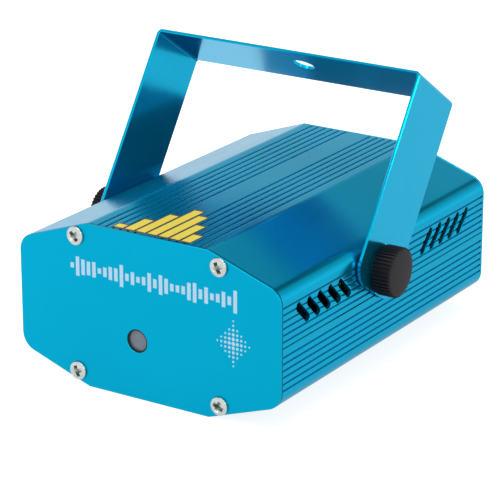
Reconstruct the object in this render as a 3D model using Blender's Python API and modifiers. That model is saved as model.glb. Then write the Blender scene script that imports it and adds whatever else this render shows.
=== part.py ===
"""Party effect light: a grooved aluminium box with a laser inside and a tilting strip bracket.

Run with: blender --background --python part.py
Units are metres, +Z is up, the front plate faces -Y and the origin is the middle of the base.
"""
import math

import bmesh
import bpy
from mathutils import Euler, Matrix, Vector

# Overall housing, measured over the two end plates
HOUSING_LENGTH = 0.1230
HOUSING_WIDTH = 0.0930
HOUSING_HEIGHT = 0.0520
TOP_FLAT_WIDTH = 0.0430
SHOULDER_DROP = 0.0086
CORNER_RADIUS = 0.0057
WALL = 0.0014
PLATE_THICKNESS = 0.0008
SEAM_ABOVE_MIDDLE = 0.0004

# Clearances
FIT = 0.0002
HOLE_PLAY = 0.00015
WASHER_PLAY = 0.0001

# Grooves that run along the extrusions
GROOVE_WIDTH = 0.0005
GROOVE_DEPTH = 0.00035
GROOVE_COUNT = 6
SIDE_GROOVE_FROM_CORNER = 0.00064
SIDE_GROOVE_FROM_MIDDLE = 0.00235
FLAT_GROOVE_START = 0.0047
FLAT_GROOVE_PITCH = 0.00262

# Lip inside the seam
LIP_HEIGHT = 0.0020
LIP_ROOT = 0.0018
LIP_THICKNESS = 0.0011

# End plate screws and the channels they bite into
SCREW_X = 0.0255
SCREW_FROM_FLAT = 0.00445
SCREW_RADIUS = 0.00125
SCREW_LENGTH = 0.0085
SCREW_HEAD_RADIUS = 0.0029
SCREW_HEAD_HEIGHT = 0.0011
CHANNEL_WALL = 0.0013
RECESS_LENGTH = 0.0034
RECESS_WIDTH = 0.0008
RECESS_DEPTH = 0.0008

# Vent slots in both sides of the upper shell
VENT_COUNT = 5
VENT_PITCH = 0.00585
VENT_GROUP_OFFSET = 0.0365
VENT_SHIFT = 0.00095
VENT_ABOVE_MIDDLE = 0.0082
VENT_LENGTH = 0.0096
VENT_WIDTH = 0.0026
VENT_LEAN = math.radians(46)

# Beam window
WINDOW_FROM_MIDDLE = 0.00375
WINDOW_HEIGHT = 0.01845
WINDOW_RADIUS = 0.00365
GLASS_RADIUS = 0.0050
GLASS_THICKNESS = 0.0010

# Bracket bent from flat strip, and its pivot
PIVOT_FROM_MIDDLE = 0.0075
PIVOT_ABOVE_MIDDLE = 0.0090
BRACKET_TILT = math.radians(34)
BRACKET_REACH = 0.0590
BRACKET_FOOT = 0.0075
STRIP_WIDTH = 0.0260
STRIP_THICKNESS = 0.0010
STRIP_BEND_RADIUS = 0.0007
FOOT_CORNER_RADIUS = 0.0070
LEG_GAP = 0.0005
HANG_HOLE_RADIUS = 0.0036
HANG_HOLE_FROM_MIDDLE = 0.0025
HANG_HOLE_TO_RIGHT = 0.0018

# Clamps: knob, stud, washers and rivet nut on each side
STUD_RADIUS = 0.0020
STUD_REACH = 0.0065
KNOB_RADIUS = 0.0078
KNOB_LENGTH = 0.0065
KNOB_FLUTES = 40
KNOB_FLUTE_DEPTH = 0.00035
KNOB_EDGE = 0.0005
KNOB_DOME = 0.0003
KNOB_FACE_WALL = 0.0015
CLAMP_WASHER_THICKNESS = 0.0005
CLAMP_WASHER_RADIUS = 0.0055
FRICTION_WASHER_RADIUS = 0.0068
RIVET_RADIUS = 0.0030
RIVET_LENGTH = 0.0080
RIVET_COLLAR = 0.0012
RIVET_COLLAR_LENGTH = 0.0024

# Tripod nut in the floor
TRIPOD_Y = 0.0120
TRIPOD_BORE_RADIUS = 0.0032
TRIPOD_WALL = 0.0012
TRIPOD_FLANGE_RADIUS = 0.0060
TRIPOD_FLANGE_THICKNESS = 0.0020
TRIPOD_NUT_HEIGHT = 0.0080

# Laser block and what it carries
BLOCK_FROM_MOTOR = 0.0039
BLOCK_LENGTH = 0.0260
BLOCK_HEIGHT = 0.0300
BLOCK_LEFT = 0.0100
BLOCK_RIGHT = 0.0245
BLOCK_FLANGE = 0.0065
BLOCK_FLANGE_THICKNESS = 0.0020
FIN_COUNT = 4
FIN_SLOT_WIDTH = 0.0018
FIN_SLOT_DEPTH = 0.0055
GREEN_MODULE_RADIUS = 0.0060
GREEN_MODULE_LENGTH = 0.0300
RED_MODULE_RADIUS = 0.0045
RED_MODULE_LENGTH = 0.0210
COMBINER_SIZE = 0.0080

# Grating wheel and its motor
WHEEL_RADIUS = 0.0150
WHEEL_RIM = 0.0015
WHEEL_THICKNESS = 0.0010
WHEEL_RIM_THICKNESS = 0.0020
WHEEL_HUB_RADIUS = 0.0030
WHEEL_HUB_LENGTH = 0.0035
WHEEL_GAP = 0.0060
BEAM_ON_WHEEL = 0.0115
MOTOR_RADIUS = 0.0075
MOTOR_LENGTH = 0.0120
MOTOR_BOSS_RADIUS = 0.0030
MOTOR_SHAFT_RADIUS = 0.0008
MOUNT_THICKNESS = 0.0012
MOUNT_WIDTH = 0.0240
MOUNT_FOOT = 0.0120
MOUNT_SCREW_SPREAD = 0.0085

# Circuit board and its posts
BOARD_THICKNESS = 0.0016
BOARD_TO_LEFT = 0.0380
BOARD_TO_RIGHT = 0.0140
BOARD_LENGTH = 0.0310
BOARD_FROM_PLATE = 0.0018
POST_HEIGHT = 0.0072
POST_RADIUS = 0.0025
POST_TO_LEFT = 0.0190
POST_TO_RIGHT = 0.0100
POST_EDGE = 0.0035
POST_FROM_REAR = 0.0085
SMALL_SCREW_RADIUS = 0.0010
SMALL_HEAD_RADIUS = 0.0019
SMALL_HEAD_HEIGHT = 0.0010
SMALL_SCREW_LENGTH = 0.0060

# Controls on the rear plate
JACK_TO_LEFT = 0.0310
JACK_SIZE = (0.0090, 0.0140, 0.0110)
JACK_NOZZLE_RADIUS = 0.0039
JACK_BORE_RADIUS = 0.0028
JACK_BORE_DEPTH = 0.0090
JACK_PIN_RADIUS = 0.0010
SWITCH_TO_LEFT = 0.0175
SWITCH_SIZE = (0.0124, 0.0060, 0.0056)
SWITCH_WALL = 0.0008
SLIDER_SIZE = (0.0045, 0.0024, 0.0028)
SLIDER_STEM = 0.0026
SLIDER_PROUD = 0.0025
SWITCH_TRAVEL = 0.0020
LIGHT_TO_LEFT = 0.0078
LIGHT_RADIUS = 0.0015
LIGHT_LENGTH = 0.0050
DIAL_X = 0.0008
DIAL_BODY = (0.0098, 0.0068, 0.0110)
DIAL_SHAFT_RADIUS = 0.0022
DIAL_RADIUS = 0.0048
DIAL_LENGTH = 0.0068
DIAL_SHAFT_LENGTH = 0.0058
MICROPHONE_X = 0.0098
MICROPHONE_RADIUS = 0.0030
MICROPHONE_LENGTH = 0.0045
SOUND_HOLE_RADIUS = 0.0010

# Cooling fan
FAN_X = 0.0275
FAN_HEIGHT = 0.0260
FAN_SIZE = 0.0250
FAN_THICKNESS = 0.0070
FAN_BORE_RADIUS = 0.0113
FAN_HUB_RADIUS = 0.0060
FAN_SPIDER = 0.0012
FAN_HOLE_OFFSET = 0.0100
BLADE_COUNT = 7
BLADE_GAP = 0.0006
BLADE_THICKNESS = 0.0008
BLADE_PITCH = math.radians(38)
GRILLE_SLOTS = 5
GRILLE_PITCH = 0.0042
GRILLE_WIDTH = 0.0024

# Leads
LEAD_RADIUS = 0.0008
LEAD_STUB = 0.0050
LEAD_LANDING = 0.0100
LEAD_DROP = 0.0040
LEAD_STEP = 0.0010
MOTOR_LEAD_RISE = 0.0140

# Places worked out from the sizes
HALF_WIDTH = HOUSING_WIDTH / 2
MIDDLE_HEIGHT = HOUSING_HEIGHT / 2
SEAM_HEIGHT = MIDDLE_HEIGHT + SEAM_ABOVE_MIDDLE
VENT_HEIGHT = MIDDLE_HEIGHT + VENT_ABOVE_MIDDLE
PIVOT_HEIGHT = MIDDLE_HEIGHT + PIVOT_ABOVE_MIDDLE
PIVOT_Y = -PIVOT_FROM_MIDDLE
WINDOW_X = -WINDOW_FROM_MIDDLE
JACK_X = -JACK_TO_LEFT
SWITCH_X = -SWITCH_TO_LEFT
LIGHT_X = -LIGHT_TO_LEFT
HALF_FLAT = TOP_FLAT_WIDTH / 2
FRONT = -HOUSING_LENGTH / 2
REAR = HOUSING_LENGTH / 2
FRONT_INSIDE = FRONT + PLATE_THICKNESS
REAR_INSIDE = REAR - PLATE_THICKNESS
SHELL_LENGTH = HOUSING_LENGTH - 2 * (PLATE_THICKNESS + FIT)
FLOOR = WALL + FIT
LEG_INSIDE = HALF_WIDTH + LEG_GAP
LEG_OUTSIDE = LEG_INSIDE + STRIP_THICKNESS
KNOB_BASE = LEG_OUTSIDE + CLAMP_WASHER_THICKNESS + 2 * WASHER_PLAY
BOARD_TOP = FLOOR + POST_HEIGHT + FIT + BOARD_THICKNESS
BOARD_REAR = REAR_INSIDE - BOARD_FROM_PLATE
BOARD_FRONT = BOARD_REAR - BOARD_LENGTH
CONTROL_BASE = BOARD_TOP + FIT
WHEEL_HEIGHT = WINDOW_HEIGHT + BEAM_ON_WHEEL
WHEEL_FRONT = FRONT_INSIDE + GLASS_THICKNESS + WHEEL_GAP
MOUNT_FRONT = WHEEL_FRONT + WHEEL_RIM_THICKNESS + WHEEL_HUB_LENGTH + FIT
MOTOR_FRONT = MOUNT_FRONT + MOUNT_THICKNESS + FIT
BLOCK_FRONT = MOTOR_FRONT + MOTOR_LENGTH + BLOCK_FROM_MOTOR
BLOCK_REAR = BLOCK_FRONT + BLOCK_LENGTH
COMBINER_Y = BLOCK_FRONT + GREEN_MODULE_RADIUS
BLOCK_SCREW_X = WINDOW_X - BLOCK_LEFT - BLOCK_FLANGE / 2
SIDE_SIGNS = {"right": 1, "left": -1}

# Roundness of turned pieces and arcs
ROUND_STEPS = 32
SMALL_STEPS = 16
ARC_STEPS = 4
MERGE = 0.000001
BEYOND = 0.0010

# Turns that stand an outline up in the front plane or in the side plane
FRONT_PLANE = Euler((math.pi / 2, 0, 0)).to_matrix().to_4x4()
SIDE_PLANE = Euler((math.pi / 2, 0, math.pi / 2)).to_matrix().to_4x4()
LEVEL = Matrix.Identity(4)
AXIS_RIGHT = Matrix.Rotation(math.pi / 2, 4, "Y")
AXIS_LEFT = Matrix.Rotation(-math.pi / 2, 4, "Y")
AXIS_FRONT = Matrix.Rotation(math.pi / 2, 4, "X")
AXIS_REAR = Matrix.Rotation(-math.pi / 2, 4, "X")

for old in list(bpy.data.objects):
    bpy.data.objects.remove(old)

PARTS = bpy.data.collections.new("party_effect_light")
CUTTERS = bpy.data.collections.new("cutters")
for collection in (PARTS, CUTTERS):
    bpy.context.scene.collection.children.link(collection)


def finish(name, color, roughness, metallic=0.0):
    """A Principled material with one colour."""
    material = bpy.data.materials.new(name)
    material.use_nodes = True
    shader = material.node_tree.nodes["Principled BSDF"]
    shader.inputs["Base Color"].default_value = (*color, 1.0)
    shader.inputs["Roughness"].default_value = roughness
    shader.inputs["Metallic"].default_value = metallic
    return material


BLUE_ANODISED = finish("blue_anodised", (0.01, 0.30, 0.50), 0.35, 0.9)
BRIGHT_ZINC = finish("bright_zinc", (0.75, 0.75, 0.73), 0.25, 1.0)
BLACK_PLASTIC = finish("black_plastic", (0.03, 0.03, 0.04), 0.5)
BRASS = finish("brass", (0.75, 0.55, 0.25), 0.3, 1.0)
RAW_ALUMINIUM = finish("raw_aluminium", (0.7, 0.7, 0.72), 0.35, 1.0)
RUBBER = finish("rubber", (0.02, 0.02, 0.02), 0.8)
WINDOW_GLASS = finish("window_glass", (0.25, 0.30, 0.33), 0.2)
CLEAR_PLASTIC = finish("clear_plastic", (0.8, 0.82, 0.84), 0.15)
BOARD_GREEN = finish("board_green", (0.02, 0.22, 0.08), 0.5)
RED_LENS = finish("red_lens", (0.6, 0.02, 0.02), 0.2)
LEAD_SLEEVE = finish("lead_sleeve", (0.5, 0.02, 0.02), 0.6)


def add_object(name, data, placement, collection=CUTTERS, material=None):
    """An object in a collection; a cutter shows as wire and stays out of renders."""
    thing = bpy.data.objects.new(name, data)
    collection.objects.link(thing)
    thing.matrix_world = placement
    if collection is CUTTERS:
        thing.hide_render = True
        thing.display_type = "WIRE"
    if material:
        data.materials.append(material)
    return thing


def at(x, y, z, turn=LEVEL):
    return Matrix.Translation((x, y, z)) @ turn


def settle(thing):
    """Replace an object by its evaluated, welded mesh, in the same place."""
    bpy.context.view_layer.update()
    graph = bpy.context.evaluated_depsgraph_get()
    mesh = bpy.data.meshes.new_from_object(thing.evaluated_get(graph))
    shape = bmesh.new()
    shape.from_mesh(mesh)
    bmesh.ops.remove_doubles(shape, verts=shape.verts, dist=MERGE)
    shape.to_mesh(mesh)
    shape.free()
    mesh.name = thing.name
    name = thing.name
    collection = thing.users_collection[0]
    placement = thing.matrix_world.copy()
    bpy.data.objects.remove(thing)
    return add_object(name, mesh, placement, collection)


def outline_solid(name, outlines, thickness, placement, collection=CUTTERS, material=None):
    """A flat outline with its holes, extruded to both sides of its plane."""
    curve = bpy.data.curves.new(name, "CURVE")
    curve.dimensions = "2D"
    curve.fill_mode = "BOTH"
    curve.extrude = thickness / 2
    for outline in outlines:
        spline = curve.splines.new("POLY")
        spline.points.add(len(outline) - 1)
        spline.use_cyclic_u = True
        for point, (x, y) in zip(spline.points, outline):
            point.co = (x, y, 0, 1)
    thing = settle(add_object(name, curve, placement, collection))
    if material:
        thing.data.materials.clear()
        thing.data.materials.append(material)
    return thing


def turned(name, profile, placement, collection=CUTTERS, material=None, steps=ROUND_STEPS, ring=False):
    """A turned solid about its own Z, from (radius, height) points down its outer side."""
    mesh = bpy.data.meshes.new(name)
    shape = bmesh.new()
    verts = [shape.verts.new((radius, 0, height)) for radius, height in profile]
    for first, second in zip(verts, verts[1:]):
        shape.edges.new((first, second))
    if ring:
        shape.edges.new((verts[-1], verts[0]))
    shape.to_mesh(mesh)
    shape.free()
    thing = add_object(name, mesh, placement, collection, material)
    turn = thing.modifiers.new("Turn", "SCREW")
    turn.steps = steps
    turn.render_steps = steps
    turn.use_merge_vertices = True
    turn.merge_threshold = MERGE
    turn.use_smooth_shade = False
    return thing


def cylinder(name, radius, length, placement, collection=CUTTERS, material=None, steps=ROUND_STEPS):
    """A cylinder from its placement's origin along its own +Z."""
    profile = [(0, length), (radius, length), (radius, 0), (0, 0)]
    return turned(name, profile, placement, collection, material, steps)


def block(name, size, placement, collection=CUTTERS, material=None):
    """A box about its placement's origin."""
    mesh = bpy.data.meshes.new(name)
    shape = bmesh.new()
    bmesh.ops.create_cube(shape, size=1.0, matrix=Matrix.Diagonal((*size, 1.0)))
    shape.to_mesh(mesh)
    shape.free()
    return add_object(name, mesh, placement, collection, material)


def combine(thing, operation, *others):
    for other in others:
        step = thing.modifiers.new(other.name, "BOOLEAN")
        step.operation = operation
        step.object = other


def cut(thing, *cutters):
    combine(thing, "DIFFERENCE", *cutters)


def join(thing, *pieces):
    combine(thing, "UNION", *pieces)


def copy_of(original, name, placement):
    """A second object on the same mesh and material."""
    thing = bpy.data.objects.new(name, original.data)
    PARTS.objects.link(thing)
    thing.matrix_world = placement
    return thing


def arc(centre, radius, start, end, steps=ARC_STEPS):
    """Points on an arc between two angles in radians."""
    points = []
    for step in range(steps + 1):
        angle = start + (end - start) * step / steps
        points.append((centre[0] + radius * math.cos(angle), centre[1] + radius * math.sin(angle)))
    return points


def circle(x, y, radius, steps=ROUND_STEPS):
    return arc((x, y), radius, 0, 2 * math.pi * (steps - 1) / steps, steps - 1)


def rectangle(left, bottom, right, top):
    return [(left, bottom), (right, bottom), (right, top), (left, top)]


def slot(x, y, length, width, lean=0.0):
    """A slot with round ends, its long way turned by lean from vertical."""
    radius = width / 2
    reach = length / 2 - radius
    ends = arc((0, reach), radius, 0, math.pi) + arc((0, -reach), radius, math.pi, 2 * math.pi)
    turn = Matrix.Rotation(-lean, 2)
    return [tuple(Vector((x, y)) + turn @ Vector(point)) for point in ends]


def mirrored(points):
    return [(-x, y) for x, y in reversed(points)]


# The housing's section, with depth counted from the flat face towards the seam
def channel_wall(inset):
    """The wall round a screw channel, between the two places where it meets the inner slope."""
    slope = Vector((HALF_WIDTH - HALF_FLAT, SHOULDER_DROP)).normalized()
    outward = Vector((slope.y, -slope.x))
    centre = Vector((SCREW_X, SCREW_FROM_FLAT))
    radius = SCREW_RADIUS + HOLE_PLAY + CHANNEL_WALL
    to_slope = outward.dot(Vector((HALF_FLAT, 0)) - centre) - inset
    lean = math.atan2(outward.y, outward.x)
    half = math.acos(to_slope / radius)
    return arc(centre, radius, lean + half, lean - half + 2 * math.pi, 3 * ARC_STEPS)


def side_path(inset, stop, extruded):
    """The right half of the section's outline, from the seam up to the flat face."""
    slope_length = math.hypot(HALF_WIDTH - HALF_FLAT, SHOULDER_DROP)
    slope_turn = math.acos(SHOULDER_DROP / slope_length)
    radius = CORNER_RADIUS - inset
    side = HALF_WIDTH - inset
    corner = SHOULDER_DROP + inset * math.tan(slope_turn / 2)
    flat_edge = HALF_FLAT - inset * math.tan((math.pi / 2 - slope_turn) / 2)
    path = [(side, stop)]
    half = GROOVE_WIDTH / 2
    centre = (side - radius, corner + radius * math.tan(slope_turn / 2))
    if extruded == "outside":
        first = centre[1] + SIDE_GROOVE_FROM_CORNER
        last = MIDDLE_HEIGHT - SIDE_GROOVE_FROM_MIDDLE
        for index in range(GROOVE_COUNT):
            depth = last + (first - last) * index / (GROOVE_COUNT - 1)
            path += [(side, depth + half), (side - GROOVE_DEPTH, depth), (side, depth - half)]
    path += arc(centre, radius, 0, -slope_turn)
    if extruded == "inside":
        path += channel_wall(inset)
    path.append((flat_edge, inset))
    if extruded == "outside":
        for index in reversed(range(GROOVE_COUNT)):
            x = FLAT_GROOVE_START + index * FLAT_GROOVE_PITCH
            path += [(x + half, inset), (x, inset + GROOVE_DEPTH), (x - half, inset)]
    return path


def shell_section(stop, lipped):
    """One half shell: the outer path over the flat face, then the inner path back."""
    outer = side_path(0, stop, "outside")
    inner = side_path(WALL, stop, "inside")
    if lipped:
        wall_face = HALF_WIDTH - WALL
        lip_face = wall_face - FIT
        lip_back = lip_face - LIP_THICKNESS
        root = stop - LIP_ROOT
        inner[0] = (wall_face, root - (wall_face - lip_back))
        lip = [(lip_face, stop), (lip_face, stop + LIP_HEIGHT), (lip_back, stop + LIP_HEIGHT), (lip_back, root)]
        inner = lip + inner
    return outer + mirrored(outer) + list(reversed(mirrored(inner))) + list(reversed(inner))


def plate_outline():
    """The end plates' outline, without grooves."""
    half = side_path(0, HOUSING_HEIGHT / 2, "plain")[1:]
    lower = half + mirrored(half)
    upper = [(x, HOUSING_HEIGHT - depth) for x, depth in lower]
    return lower + list(reversed(upper))


def screw_places():
    """Name, x and height of the four screws of an end plate."""
    places = []
    for level, height in (("upper", HOUSING_HEIGHT - SCREW_FROM_FLAT), ("lower", SCREW_FROM_FLAT)):
        for side, sign in SIDE_SIGNS.items():
            places.append((level + "_" + side, sign * SCREW_X, height))
    return places


def make_shell(name, flat_height, into_box, stop, lipped):
    """A half shell whose flat face is at flat_height; into_box is +1 or -1, towards the seam."""
    section = [(x, flat_height + into_box * depth) for x, depth in shell_section(stop, lipped)]
    channel_height = flat_height + into_box * SCREW_FROM_FLAT
    bore = SCREW_RADIUS + HOLE_PLAY
    bores = [circle(sign * SCREW_X, channel_height, bore, SMALL_STEPS) for sign in SIDE_SIGNS.values()]
    return outline_solid(name, [section] + bores, SHELL_LENGTH, FRONT_PLANE, PARTS, BLUE_ANODISED)


def make_upper_shell():
    stop = HOUSING_HEIGHT - SEAM_HEIGHT - FIT / 2
    shell = make_shell("upper_shell", HOUSING_HEIGHT, -1, stop, False)
    slots = []
    for direction in (-1, 1):
        for index in range(VENT_COUNT):
            y = direction * VENT_GROUP_OFFSET - VENT_SHIFT + (index - (VENT_COUNT - 1) / 2) * VENT_PITCH
            slots.append(slot(y, VENT_HEIGHT, VENT_LENGTH, VENT_WIDTH, direction * VENT_LEAN))
    across = 2 * (HALF_WIDTH + BEYOND)
    vents = outline_solid("vent_cutter", slots, across, SIDE_PLANE)
    start = at(-across / 2, PIVOT_Y, PIVOT_HEIGHT, AXIS_RIGHT)
    rivet_holes = cylinder("rivet_hole_cutter", RIVET_RADIUS + FIT, across, start, steps=SMALL_STEPS)
    cut(shell, vents, rivet_holes)


def floor_screw_places():
    """Places of the small screws that are tapped into the floor."""
    places = {}
    mount_y = MOUNT_FRONT + MOUNT_THICKNESS + MOUNT_FOOT / 2
    for side, sign in SIDE_SIGNS.items():
        places["motor_mount_screw_" + side] = (WINDOW_X + sign * MOUNT_SCREW_SPREAD, mount_y, MOUNT_THICKNESS)
    for end, y in (("front", BLOCK_FRONT + POST_EDGE), ("rear", BLOCK_REAR - POST_EDGE)):
        places["laser_block_screw_" + end] = (BLOCK_SCREW_X, y, BLOCK_FLANGE_THICKNESS)
    return places


def make_lower_shell():
    shell = make_shell("lower_shell", 0, 1, SEAM_HEIGHT - FIT / 2, True)
    start = at(0, TRIPOD_Y, -BEYOND)
    nut_hole_radius = TRIPOD_BORE_RADIUS + TRIPOD_WALL + FIT
    cut(shell, cylinder("tripod_hole_cutter", nut_hole_radius, WALL + 2 * BEYOND, start))
    for name, (x, y, _) in floor_screw_places().items():
        tapped = SMALL_SCREW_RADIUS + HOLE_PLAY
        drill = cylinder(name + "_hole", tapped, WALL + 2 * BEYOND, at(x, y, -BEYOND), steps=SMALL_STEPS)
        cut(shell, drill)


def make_front_plate():
    holes = [circle(x, z, SCREW_RADIUS + FIT, SMALL_STEPS) for _, x, z in screw_places()]
    holes.append(circle(WINDOW_X, WINDOW_HEIGHT, WINDOW_RADIUS))
    middle = at(0, FRONT + PLATE_THICKNESS / 2, 0, FRONT_PLANE)
    plate = outline_solid("front_plate", [plate_outline()] + holes, PLATE_THICKNESS, middle, PARTS,
                          BLUE_ANODISED)
    glass_rear = at(WINDOW_X, FRONT_INSIDE + WASHER_PLAY + GLASS_THICKNESS, WINDOW_HEIGHT, AXIS_FRONT)
    cylinder("window_glass", GLASS_RADIUS, GLASS_THICKNESS, glass_rear, PARTS, WINDOW_GLASS)


def grille_slots():
    """Upright slots in front of the fan, whose lengths follow its round bore."""
    slots = []
    for index in range(GRILLE_SLOTS):
        offset = (index - (GRILLE_SLOTS - 1) / 2) * GRILLE_PITCH
        length = 2 * math.sqrt(FAN_BORE_RADIUS ** 2 - (abs(offset) + GRILLE_WIDTH / 2) ** 2)
        slots.append(slot(FAN_X + offset, FAN_HEIGHT, length, GRILLE_WIDTH))
    return slots


def fan_screw_places():
    return {"upper": (FAN_X + FAN_HOLE_OFFSET, FAN_HEIGHT + FAN_HOLE_OFFSET),
            "lower": (FAN_X - FAN_HOLE_OFFSET, FAN_HEIGHT - FAN_HOLE_OFFSET)}


def make_rear_plate():
    holes = [circle(x, z, SCREW_RADIUS + FIT, SMALL_STEPS) for _, x, z in screw_places()]
    holes += grille_slots()
    holes += [circle(x, z, SMALL_SCREW_RADIUS + FIT, SMALL_STEPS) for x, z in fan_screw_places().values()]
    holes.append(circle(JACK_X, CONTROL_BASE + JACK_SIZE[2] / 2, JACK_NOZZLE_RADIUS + FIT))
    switch_height = CONTROL_BASE + SWITCH_SIZE[2] / 2
    half_long = SLIDER_STEM / 2 + SWITCH_TRAVEL + FIT
    half_high = SLIDER_SIZE[2] / 2 + FIT
    holes.append(rectangle(SWITCH_X - half_long, switch_height - half_high,
                           SWITCH_X + half_long, switch_height + half_high))
    dial_height = CONTROL_BASE + DIAL_BODY[2] / 2
    holes.append(circle(LIGHT_X, dial_height, LIGHT_RADIUS + HOLE_PLAY, SMALL_STEPS))
    holes.append(circle(DIAL_X, dial_height, DIAL_SHAFT_RADIUS + FIT, SMALL_STEPS))
    microphone_height = CONTROL_BASE + MICROPHONE_RADIUS
    holes.append(circle(MICROPHONE_X, microphone_height, SOUND_HOLE_RADIUS, SMALL_STEPS))
    middle = at(0, REAR - PLATE_THICKNESS / 2, 0, FRONT_PLANE)
    plate = outline_solid("rear_plate", [plate_outline()] + holes, PLATE_THICKNESS, middle, PARTS,
                          BLUE_ANODISED)


def screw_profile(radius, length, head_radius, head_height):
    """A pan-head screw with its head's seat at height 0."""
    return [(0, head_height), (head_radius * 0.55, head_height), (head_radius * 0.9, head_height * 0.65),
            (head_radius, head_height * 0.2), (head_radius, 0), (radius, 0),
            (radius, radius - length), (radius * 0.4, -length), (0, -length)]


def make_plate_screws():
    """Eight pan-head screws with a cross recess, on one mesh."""
    profile = screw_profile(SCREW_RADIUS, SCREW_LENGTH, SCREW_HEAD_RADIUS, SCREW_HEAD_HEIGHT)
    master = turned("plate_screw_master", profile, LEVEL, PARTS, BRIGHT_ZINC, SMALL_STEPS)
    arm = (RECESS_LENGTH, RECESS_WIDTH, 2 * RECESS_DEPTH)
    across = (RECESS_WIDTH, RECESS_LENGTH, 2 * RECESS_DEPTH + BEYOND / 4)
    recess = [block("recess_arm", arm, at(0, 0, SCREW_HEAD_HEIGHT)),
              block("recess_cross", across, at(0, 0, SCREW_HEAD_HEIGHT))]
    cut(master, *recess)
    master = settle(master)
    master.data.materials.append(BRIGHT_ZINC)
    for index, (place, x, height) in enumerate(screw_places()):
        turn = Matrix.Rotation(math.radians(35 + 25 * index), 4, "Z")
        front = at(x, FRONT - WASHER_PLAY, height, AXIS_FRONT @ turn)
        copy_of(master, "front_plate_screw_" + place, front)
        rear = at(x, REAR + WASHER_PLAY, height, AXIS_REAR @ turn)
        copy_of(master, "rear_plate_screw_" + place, rear)
    bpy.data.objects.remove(master)
    for cutter in recess:
        bpy.data.objects.remove(cutter)


def make_small_screws():
    """Small screws inside: floor screws, board screws and fan screws, each kind on one mesh."""
    for name, (x, y, under_head) in floor_screw_places().items():
        seat = FLOOR + under_head + WASHER_PLAY
        profile = screw_profile(SMALL_SCREW_RADIUS, seat - FIT, SMALL_HEAD_RADIUS, SMALL_HEAD_HEIGHT)
        turned(name, profile, at(x, y, seat), PARTS, BRIGHT_ZINC, SMALL_STEPS)
    profile = screw_profile(SMALL_SCREW_RADIUS, SMALL_SCREW_LENGTH, SMALL_HEAD_RADIUS, SMALL_HEAD_HEIGHT)
    for name, x, y in post_places():
        seat = at(x, y, BOARD_TOP + WASHER_PLAY)
        turned("board_screw_" + name, profile, seat, PARTS, BRIGHT_ZINC, SMALL_STEPS)
    fan_length = PLATE_THICKNESS + FIT + FAN_THICKNESS
    profile = screw_profile(SMALL_SCREW_RADIUS, fan_length, SMALL_HEAD_RADIUS, SMALL_HEAD_HEIGHT)
    for name, (x, z) in fan_screw_places().items():
        seat = at(x, REAR + WASHER_PLAY, z, AXIS_REAR)
        turned("fan_screw_" + name, profile, seat, PARTS, BRIGHT_ZINC, SMALL_STEPS)


def bracket_outline():
    """The U seen from the front, closed on itself: outside over the top, inside back."""
    outer_bend = STRIP_THICKNESS + STRIP_BEND_RADIUS
    bend_x = LEG_OUTSIDE - outer_bend
    bend_top = BRACKET_REACH - outer_bend
    low = -BRACKET_FOOT - BEYOND
    outside = [(LEG_OUTSIDE, low)] + arc((bend_x, bend_top), outer_bend, 0, math.pi / 2)
    inside = [(LEG_INSIDE, low)] + arc((bend_x, bend_top), STRIP_BEND_RADIUS, 0, math.pi / 2)
    return outside + mirrored(outside) + list(reversed(mirrored(inside))) + list(reversed(inside))


def foot_outline():
    """The strip seen from the side, with its two foot corners rounded."""
    half = STRIP_WIDTH / 2
    radius = FOOT_CORNER_RADIUS
    low = -BRACKET_FOOT
    top = BRACKET_REACH + BEYOND
    right = arc((half - radius, low + radius), radius, -math.pi / 2, 0)
    left = arc((radius - half, low + radius), radius, math.pi, 1.5 * math.pi)
    return [(half, top), (-half, top)] + left + right


def make_bracket():
    pivot = bpy.data.objects.new("bracket_pivot", None)
    PARTS.objects.link(pivot)
    pivot.matrix_world = at(0, PIVOT_Y, PIVOT_HEIGHT, Matrix.Rotation(-BRACKET_TILT, 4, "X"))
    bracket = outline_solid("bracket", [bracket_outline()], STRIP_WIDTH + 2 * BEYOND, FRONT_PLANE, PARTS,
                            BLUE_ANODISED)
    bracket.data.transform(FRONT_PLANE)
    across = 2 * (LEG_OUTSIDE + BEYOND)
    side = outline_solid("bracket_side", [foot_outline()], across, SIDE_PLANE)
    pivot_holes = cylinder("pivot_hole_cutter", STUD_RADIUS + FIT, across, at(-across / 2, 0, 0, AXIS_RIGHT),
                           steps=SMALL_STEPS)
    hang_start = at(HANG_HOLE_TO_RIGHT, -HANG_HOLE_FROM_MIDDLE, BRACKET_REACH - STRIP_THICKNESS - BEYOND)
    hang_hole = cylinder("hang_hole_cutter", HANG_HOLE_RADIUS, STRIP_THICKNESS + 2 * BEYOND, hang_start)
    combine(bracket, "INTERSECT", side)
    cut(bracket, pivot_holes, hang_hole)
    for thing in (bracket, side, pivot_holes, hang_hole):
        local = LEVEL if thing is bracket else thing.matrix_world.copy()
        thing.parent = pivot
        thing.matrix_parent_inverse = LEVEL
        thing.matrix_basis = local


def flute_outline():
    """The knob's rim with straight flutes: a flat crest and one valley point for each."""
    points = []
    pitch = 2 * math.pi / KNOB_FLUTES
    for index in range(KNOB_FLUTES):
        for share, radius in ((0.0, KNOB_RADIUS), (0.5, KNOB_RADIUS), (0.75, KNOB_RADIUS - KNOB_FLUTE_DEPTH)):
            angle = (index + share) * pitch
            points.append((radius * math.cos(angle), radius * math.sin(angle)))
    return points


def knob_envelope():
    """The domed form, with a rounded edge, that the fluted rim is trimmed to."""
    edge = arc((KNOB_RADIUS - KNOB_EDGE, KNOB_LENGTH - KNOB_DOME - KNOB_EDGE), KNOB_EDGE, math.pi / 2, 0, 3)
    chamfer = KNOB_FLUTE_DEPTH
    dome = [(0, KNOB_LENGTH), (KNOB_RADIUS * 0.45, KNOB_LENGTH - KNOB_DOME * 0.25)]
    return dome + edge + [(KNOB_RADIUS, chamfer), (KNOB_RADIUS - chamfer, 0), (0, 0)]


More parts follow.
